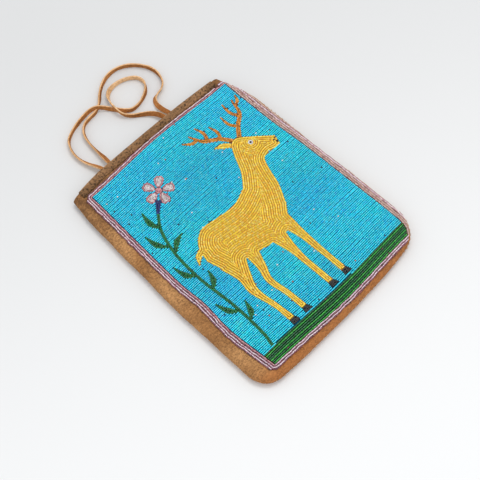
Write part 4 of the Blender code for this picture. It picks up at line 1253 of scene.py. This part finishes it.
def lower_on_rim(table):
    """Beads near the rolled rim lie lower, on the hide there."""
    table[:, 2] += front_z(table[:, :2]) - FACE_Z
    return table


# Hide

RIM_TURNS = np.radians((0.0, 14.0, 28.0, 42.0, 57.0, 73.0, 90.0))
FOLD_STEPS = 9
BED_SIDE = 7.0 * MM
BED_END = 3.6 * MM
BED_THICK = 0.25 * MM
STITCH_STEP = 5.2 * MM
STITCH_RADIUS = 0.24 * MM


def shell(name, layers, material, flip=False):
    """A closed sheet between two matching grids of points."""
    columns, rows = layers[0].shape[:2]
    count = columns * rows
    corners = [i * rows + j for i in range(columns - 1) for j in range(rows - 1)]
    faces = [(a, a + rows, a + rows + 1, a + 1) for a in corners]
    faces += [tuple(count + k for k in face[::-1]) for face in faces]
    loop = [i * rows for i in range(columns)]
    loop += [(columns - 1) * rows + j for j in range(1, rows)]
    loop += [i * rows + rows - 1 for i in range(columns - 2, -1, -1)]
    loop += list(range(rows - 2, 0, -1))
    faces += [(a, count + a, count + b, b) for a, b in zip(loop, loop[1:] + loop[:1])]
    if flip:
        faces = [face[::-1] for face in faces]
    points = np.vstack([layer.reshape(-1, 3) for layer in layers])
    return make_object(name, points, faces, (material,))


def beaded(points):
    """1 well under the beadwork, falling to 0 on the bare hide round it."""
    x, y = points[..., 0], points[..., 1]
    reach = np.minimum(x - field_left(y), field_right(y) - x) + 8.0 * MM
    reach = np.minimum(reach, y - ground_y(x, 0.0) + 5.0 * MM)
    reach = np.minimum(reach, ground_y(x, 1.0) + 5.0 * MM - y)
    return smoothstep(reach, -3.5 * MM, 1.5 * MM)


def make_panel(name, height, side, material, columns, rows):
    """A hide panel with a rolled rim, soft waves in its hide and an uneven edge."""
    turn = 1.0 - np.cos(RIM_TURNS)
    edge = RIM_RADIUS / BAG_WIDTH * turn
    across = np.concatenate([edge, np.linspace(edge[-1], 1.0 - edge[-1], columns)[1:-1], 1.0 - edge[::-1]])
    low = RIM_RADIUS / BAG_LENGTH * turn
    up = np.concatenate([low, np.linspace(low[-1], 1.0, rows)[1:]])
    layers = []
    for depth in (0.0, HIDE):
        grid = panel_grid(across, up, depth)
        z = height(grid, depth)
        rim = height(SEAM[:1], depth)[0]
        z[0], z[-1], z[:, 0] = rim, rim, rim
        gap = distance_to_seam(grid)
        x, y = grid[..., 0], grid[..., 1]
        bare = smoothstep(gap, 1.0 * MM, 9.0 * MM) * (1.0 - smoothstep(y, 0.118, 0.128))
        if side > 0:
            z = z + bare * (1.0 - 0.75 * beaded(grid)) * 0.3 * MM * waves(x, y, 0.034, 5)
            z = z + 0.5 * MM * beaded(grid) * (1.0 - smoothstep(y, 0.1295, 0.1335))
        else:
            z = z + bare * 0.5 * MM * (1.0 + waves(x, y, 0.05, 6))
        shift = (1.0 - smoothstep(gap, 0.0, 12.0 * MM)) * (1.0 - smoothstep(y, 0.11, 0.128)) * 0.6 * MM
        x = x + shift * waves(x, y, 0.045, 7)
        y = y + shift * waves(x, y, 0.05, 9)
        layers.append(np.dstack([x, y, z]))
    return shell(name, layers, material, side < 0)


def make_binding(name, height, side, material):
    """A strip of hide folded over one lip of the mouth, with an uneven edge and a fold painted lighter:
    part scuffing, part painted highlight.
    """
    x0 = left_edge(BAG_LENGTH / 2.0 - BINDING_WIDTH) + BINDING_END
    x1 = right_edge(BAG_LENGTH / 2.0 - BINDING_WIDTH) - BINDING_END
    legs_share = np.linspace(1.0, 0.0, 8)
    fold_turns = np.radians(np.linspace(90.0, -90.0, FOLD_STEPS + 2))[1:-1]
    puff_height = 0.36 * MM if side > 0 else 0.0
    down = 0.35 * (1.0 - legs_share) ** 3
    on_fold = np.abs(np.sin(np.linspace(0.5, math.pi - 0.5, FOLD_STEPS)))
    outer, inner, wear_and_highlight = [], [], []
    for x in np.linspace(x0, x1, 190):
        wave = float(waves(x, 0.0, 0.03, 41 + side))
        lip = mouth_edge(x)
        reach = (BINDING_WIDTH - BINDING - CLEARANCE) * (1.0 + 0.05 * wave)
        legs = lip_edge(x) - reach * legs_share
        points = np.stack([np.full(len(legs), x), legs], axis=1)
        puff = puff_height * (1.0 + waves(x, legs, 0.016, 43)) * np.sin(math.pi * (1.0 - legs_share))
        outside = height(points) + side * CLEARANCE
        inside_z = height(points, HIDE) - side * CLEARANCE
        a, b = outside[-1] + side * BINDING, inside_z[-1] - side * BINDING
        middle, tall, deep = (a + b) / 2.0, (a - b) / 2.0, lip - legs[-1]
        fold = []
        for t in fold_turns:
            bend = math.copysign(abs(math.sin(t)) ** 0.8, math.sin(t))
            fold.append((legs[-1] + deep * math.cos(t) ** 0.7, middle + tall * bend))
        turn = [(lip - BINDING, z) for z in np.linspace(outside[-1], inside_z[-1], FOLD_STEPS)]
        over = [*zip(legs, outside + side * (BINDING + puff)), *fold,
                *zip(legs[::-1], inside_z[::-1] - side * BINDING)]
        under = [*zip(legs, outside), *turn, *zip(legs[::-1], inside_z[::-1])]
        outer.append([(x, y, z) for y, z in over])
        inner.append([(x, y, z) for y, z in under])
        # Lighter on the top of the fold: scuffing and painted highlight.
        wear_and_highlight.append(np.concatenate([down, on_fold, down[::-1]]))
    made = shell(name, [np.array(outer), np.array(inner)], material, side > 0)
    rubbed_and_lit = made.data.attributes.new("wear_and_highlight", "FLOAT", "POINT")
    rubbed_and_lit.data.foreach_set("value", np.tile(np.array(wear_and_highlight).ravel(), 2))
    return made


def bed_grid(columns, rows):
    """Points of the bed's sheet, over the ground and its borders, with rounded corners."""
    across = np.linspace(0.0, 1.0, columns)
    up = np.linspace(0.0, 1.0, rows)
    y = FIELD_Y0 - 4.2 * MM + (FIELD_Y1 - FIELD_Y0 + 8.4 * MM) * up
    left = np.maximum(field_left(y) - BED_SIDE, left_edge(y) + 3.0 * MM)
    right = np.minimum(field_right(y) + BED_SIDE, right_edge(y) - 2.2 * MM)
    x = left[None] + (right - left)[None] * across[:, None]
    low, high = ground_y(x, 0.0) - BED_END, ground_y(x, 1.0) + BED_END
    y = low + (high - low) * up[None]
    beyond_x = np.maximum(np.maximum(field_left(y) - x, x - field_right(y)), 0.0) / BED_SIDE
    beyond_y = np.maximum(np.maximum(ground_y(x, 0.0) - y, y - ground_y(x, 1.0)), 0.0) / BED_END
    far = np.maximum(np.hypot(beyond_x, beyond_y), 1.0)
    new_x = x - np.sign(x) * (beyond_x - beyond_x / far) * BED_SIDE
    new_y = y - np.sign(y) * (beyond_y - beyond_y / far) * BED_END
    return np.stack([new_x, new_y], axis=2)


def make_thread_and_shade_bed(regions, material):
    """A thin sheet under the beads for their thread, in painted shade: each field's bead colour darkened,
    for the shade that lies in the gaps between the beads.
    """
    grid = bed_grid(132, 180)
    flat = grid.reshape(-1, 2)
    number = region_label(regions, flat)
    # Painted shade of the gaps: tan between the gold rows, dark brown between the antler rows, else the
    # field's darkest bead colour at about a third.
    gap_shades = {"stag": rgb(218, 148, 60), "antlers": rgb(126, 66, 20)}
    shades = [rgb(6, 82, 120)] + [gap_shades.get(r.name, np.array(r.palette[-1]) * 0.32) for r in regions]
    colours = np.array([shades[n + 1] for n in number])
    x, y = flat[:, 0], flat[:, 1]
    border = (x < field_left(y)) | (x > field_right(y)) | (y < ground_y(x, 0.0)) | (y > ground_y(x, 1.0))
    grass = (y < ground_y(x, grass_share(x))) & ~border
    # Painted shade under the borders, the right border and the grass.
    right = x > field_right(y)
    for where, shade in ((border, rgb(112, 66, 66)), (right, rgb(132, 94, 86)), (grass, rgb(8, 46, 22))):
        colours[where & (number < 0)] = shade
    z = front_z(grid) + (BED_Z - FACE_Z)
    made = shell("thread_and_shade_bed", [np.dstack([grid, z]), np.dstack([grid, z - BED_THICK])], material)
    paint = made.data.attributes.new("bead_and_shade_colour", "FLOAT_COLOR", "POINT")
    values = np.ones((len(flat) * 2, 4))
    values[:, :3] = np.vstack([colours, colours])
    paint.data.foreach_set("color", values.ravel())
    return made


def make_stitches(material):
    """The whip stitches that close the seam round the sides and the bottom."""
    run = run_of(SEAM)
    stops = np.arange(9.0 * MM, run[-1] - 9.0 * MM, STITCH_STEP)
    ahead = unit(spots_at(stops + MM, run, SEAM) - spots_at(stops - MM, run, SEAM))
    turns = np.radians(np.arange(0.0, 360.0, 60.0))
    points, faces = [], []
    for spot, a, out in zip(spots_at(stops, run, SEAM), ahead, -to_left(ahead)):
        lean = rng.normal(0.55, 0.12)
        path = []
        for t in np.radians(np.linspace(-62.0, 62.0, 8)):
            x, y = spot + out * (0.5 * math.cos(t) - 0.28) * MM + a * lean * t * MM
            path.append((x, y, SEAM_Z + 1.7 * MM * math.sin(t)))
        heading = unit(np.gradient(np.array(path), axis=0))
        first = unit(np.cross(heading, (*out, 0.0)))
        second = np.cross(heading, first)
        faces += tube_faces(len(path), len(turns), len(points))
        for p, f, s in zip(path, first, second):
            points += [p + STITCH_RADIUS * (math.cos(t) * f + math.sin(t) * s) for t in turns]
    return make_object("seam_stitches", points, faces, (material,))


def make_hide_pieces():
    """The panels, the mouth strips, the stitches and the thongs, each in its own hide."""
    grain = hide_material("thong_grain", rgb(190, 128, 72), rgb(152, 94, 46), rgb(122, 72, 36))
    flesh = hide_material("thong_flesh", rgb(234, 192, 146), rgb(216, 168, 118), rgb(184, 134, 88))
    for name in THONG_ROUTES:
        make_thong(name, grain, flesh)
    tan = hide_material("tan_suede", rgb(190, 140, 90), rgb(162, 114, 69), rgb(96, 66, 42),
                        orange=rgb(175, 109, 58))
    brown = hide_material("brown_suede", rgb(146, 108, 74), rgb(112, 81, 53), rgb(40, 30, 22),
                          worn_and_lit=rgb(196, 154, 112), speck_scale=430.0, speck_share=0.85)
    tab = hide_material("tab_suede", rgb(150, 106, 66), rgb(120, 84, 52), rgb(92, 64, 42))
    settle(make_panel("front_hide", front_z, 1, tan, 96, 112), "tan_hide", "front_panel")
    settle(make_panel("back_hide", back_z, -1, tan, 64, 80), "tan_hide", "back_panel")
    settle(make_binding("mouth_fold_front", front_z, 1, brown), "brown_hide", "mouth_binding_front")
    settle(make_binding("mouth_fold_back", back_z, -1, brown), "brown_hide", "mouth_binding_back")
    settle(make_stitches(flesh), "tan_hide")
    for name in ("thong_tab_left", "thong_tab_right"):
        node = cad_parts[name]
        node.data.materials.clear()
        node.data.materials.append(tab)


# The beaded pieces

EYE = on_field((82.9, 72.9))
EYE_RADIUS = 2.7 * MM
EYE_RING = 2.0 * MM
NOSE = on_field(((94.0, 67.4), (93.2, 66.9), (94.2, 65.6), (93.0, 65.3)))
NOSE_REACH = 1.3 * MM
GROUND_PARTS = 4

# Each piece of beads: its slot, the regions in it and the nodes that it stands for
LEGS = ("hind_{}_near", "hind_{}_far", "fore_{}_near", "fore_{}_far")
PETALS = [f"petal_{n}" for n in range(5)]
LEAVES = [f"leaf_{n}" for n in range(7)]
BEAD_PIECES = {
    "stag_beads": ("gold_beads", ("stag",), ("stag_body", "stag_neck_and_head", "stag_ear", "stag_tail",
                                             *[leg.format("leg") for leg in LEGS])),
    "eye_beads": ("black_beads", ("eye",), ("stag_eye",)),
    "hoof_beads": ("black_beads", ("hooves",), [leg.format("hoof") for leg in LEGS]),
    "antler_beads": ("amber_beads", ("antlers",), ("antler_left", "antler_right")),
    "petal_beads": ("petal_beads", PETALS, [f"petal_{n}" for n in range(1, 6)]),
    "heart_beads": ("pink_beads", ("heart",), ("flower_heart",)),
    "calyx_beads": ("navy_beads", ("calyx",), ("calyx",)),
    "stem_beads": ("leaf_beads", ("stem",), ("stem",)),
    "leaf_beads": ("green_beads", LEAVES, [f"leaf_{n}" for n in range(1, 8)]),
    "grass_beads": ("green_beads", ("grass",), ("grass_dark", "grass_bright")),
    **{f"{name}_beads": ("pink_beads", (name,), (name,)) for name in BORDERS},
}


def picture_regions():
    """The fields of the picture, those in front first."""
    gold, hooves = stag_outlines()
    heart, petals, calyx, stem, leaves = plant_parts()
    left = antler_strokes(((77.6, 77.3), (72.6, 82.7), (65.3, 86.7), (61.6, 92.5)),
                          (((73.2, 82.4), (74.7, 85.9), (73.7, 89.8)),
                           ((67.4, 85.5), (68.9, 89.4), (67.4, 93.7)),
                           ((63.7, 88.6), (59.5, 89.4), (55.8, 91.8))))
    right = antler_strokes(((80.3, 77.3), (85.8, 82.0), (92.1, 85.9), (94.7, 92.5)),
                           (((85.3, 81.6), (82.6, 85.1), (82.6, 89.8)),
                            ((90.5, 84.7), (88.4, 88.6), (88.9, 93.7)),
                            ((93.7, 89.4), (96.8, 90.6), (98.4, 93.3))))
    return [
        Region("eye", [disc(EYE, EYE_RADIUS)], BLACK),
        Region("stag", gold, GOLD, 2.35 * MM),
        Region("hooves", hooves, BLACK, 1.8 * MM),
        Region("antlers", (), AMBER, 1.62 * MM, left + right),
        Region("heart", [heart], ROSE, 1.8 * MM),
        Region("calyx", (), NAVY, 1.6 * MM, [calyx]),
        *[Region(name, [outline], PETAL, 1.75 * MM) for name, outline in zip(PETALS, petals)],
        *[Region(name, (), LEAF, 1.6 * MM, [stroke]) for name, stroke in zip(LEAVES, leaves)],
        Region("stem", (), LEAF, 1.5 * MM, [stem]),
    ]


def eye_table():
    """A ring of white beads with two dark ones in the middle."""
    beads = Beads()
    ring = np.radians(np.arange(0.0, 360.0, 45.0))
    round_eye = EYE + EYE_RING * np.stack([np.cos(ring), np.sin(ring)], axis=1)
    beads.add(round_eye, ring + math.pi / 2.0, pick(WHITE, len(ring)))
    pupil = np.array([EYE + (0.45 * MM, 0.0), EYE - (0.45 * MM, 0.0)])
    beads.add(pupil, np.full(2, math.pi / 2.0), pick(BLACK, 2))
    return beads.table()


def picture_tables(regions):
    """The beads of every field of the picture, by the names of the fields."""
    tables = {}
    for number, region in enumerate(regions[1:], 1):
        spots = (fill_strokes if region.strokes else fill_region)(regions, number)
        order = spots[:, 3]
        colours = pick(region.palette, len(spots)) * np.where(order % 2 == 1, 0.9, 1.04)[:, None]
        if region.name in PETALS:
            rim = order == 0
            colours[rim] = pick(ROSE, int(rim.sum()))
        share, lift = (0.47, 0.15 * MM) if region.strokes else (0.43, 0.0)
        beads = Beads()
        beads.add(spots[:, :2], spots[:, 2], np.clip(colours, 0.0, 1.0),
                  radii=share * region.pitch, z=BEAD_Z + lift)
        tables[region.name] = beads.table()
    tables["eye"] = eye_table()
    stag = tables["stag"]
    dark = np.min(np.linalg.norm(stag[:, None, :2] - NOSE[None], axis=2), axis=1) < NOSE_REACH
    stag[dark, 6:] = pick(BLACK, int(dark.sum()))
    return tables


def make_bead_pieces():
    """The picture first, then the grass and the borders, and the ground with its bed of painted gap shade
    last.
    """
    glass = bead_material("glass_beads", 0.2, 0.5)
    regions = picture_regions()
    tables = picture_tables(regions)
    tables["grass"] = make_grass()
    tables.update(make_borders())
    for name, (slot, parts, nodes) in BEAD_PIECES.items():
        rows = lower_on_rim(np.vstack([tables[part] for part in parts]))
        settle(bead_mesh(name, rows, glass), slot, *nodes)
    ground = make_ground(regions)
    ground = ground[np.argsort(ground[:, 1], kind="stable")]
    for number, rows in enumerate(np.array_split(ground, GROUND_PARTS), 1):
        made = bead_mesh(f"ground_beads_{number}", lower_on_rim(rows), glass)
        settle(made, "turquoise_beads", "bead_ground")
    settle(make_thread_and_shade_bed(regions, thread_and_shade_material()), "turquoise_beads", "bead_ground")


# Room: floor and light

FLOOR_HALF = 6.0
FALLOFF_WAY = (0.474, 0.881)


def make_floor():
    """Pale paper under the bag, with painted shade that makes it a little darker further from the camera,
    as if the light fell off.
    """
    data = bpy.data.meshes.new("floor")
    corners = [(a * FLOOR_HALF, b * FLOOR_HALF, 0.0) for a, b in ((-1, -1), (1, -1), (1, 1), (-1, 1))]
    data.from_pydata(corners, [], [(0, 1, 2, 3)])
    floor = add_to_scene("floor", data)
    floor.location.z = float(CAD_BOX[0][2]) - 0.1 * MM
    m = Shader("paper_floor_painted_falloff")
    # Painted shade: the floor's colour darkens along this direction, standing for the lamps' falloff.
    painted_falloff = m.math("ADD", *[m.math("MULTIPLY", m.axis(k), share) for k, share in zip("XY", FALLOFF_WAY)])
    m.colour(m.mix(m.span(painted_falloff, -0.4, 0.36), (0.893, 0.893, 0.893), (0.66, 0.66, 0.66)))
    m.set(Roughness=0.8, Specular_IOR_Level=0.15)
    data.materials.append(m.material)


def make_world():
    """Soft light from all round, with a paler backdrop for the camera alone."""
    world = bpy.data.worlds.new("soft_room")
    world.use_nodes = True
    bpy.context.scene.world = world
    nodes, links = world.node_tree.nodes, world.node_tree.links
    back, pale = nodes["Background"], nodes.new("ShaderNodeBackground")
    shown = ((back, (0.97, 0.985, 1.0, 1.0), 0.9), (pale, (0.88, 0.885, 0.89, 1.0), 1.0))
    for node, colour, strength in shown:
        node.inputs["Color"].default_value = colour
        node.inputs["Strength"].default_value = strength
    ways, seen, mix = (nodes.new(f"ShaderNode{kind}") for kind in ("LightPath", "Math", "MixShader"))
    seen.operation = "MAXIMUM"
    links.new(ways.outputs["Is Camera Ray"], seen.inputs[0])
    links.new(ways.outputs["Is Transmission Ray"], seen.inputs[1])
    for number, node in enumerate((seen, back, pale)):
        links.new(node.outputs[0], mix.inputs[number])
    links.new(mix.outputs[0], nodes["World Output"].inputs["Surface"])


def make_lamp(name, place, size, power, colour):
    """A round soft lamp that looks at the bag's middle."""
    data = bpy.data.lights.new(name, "AREA")
    data.shape = "DISK"
    data.size = size
    data.energy = power
    data.color = colour
    out = np.array(place, float) / np.linalg.norm(place)
    side = np.cross((0.0, 0.0, 1.0), out)
    side /= np.linalg.norm(side)
    turn = Matrix(np.stack([side, np.cross(out, side), out], axis=1).tolist()).to_4x4()
    turn.translation = place
    add_to_scene(name, data).matrix_world = turn


make_camera()
make_hide_pieces()
make_bead_pieces()
make_floor()
make_world()
make_lamp("key", (0.62, 0.14, 1.7), 0.7, 7.2, (1.0, 0.99, 0.97))
make_lamp("fill", (0.4, 0.7, 1.65), 1.0, 3.0, (0.97, 0.985, 1.0))
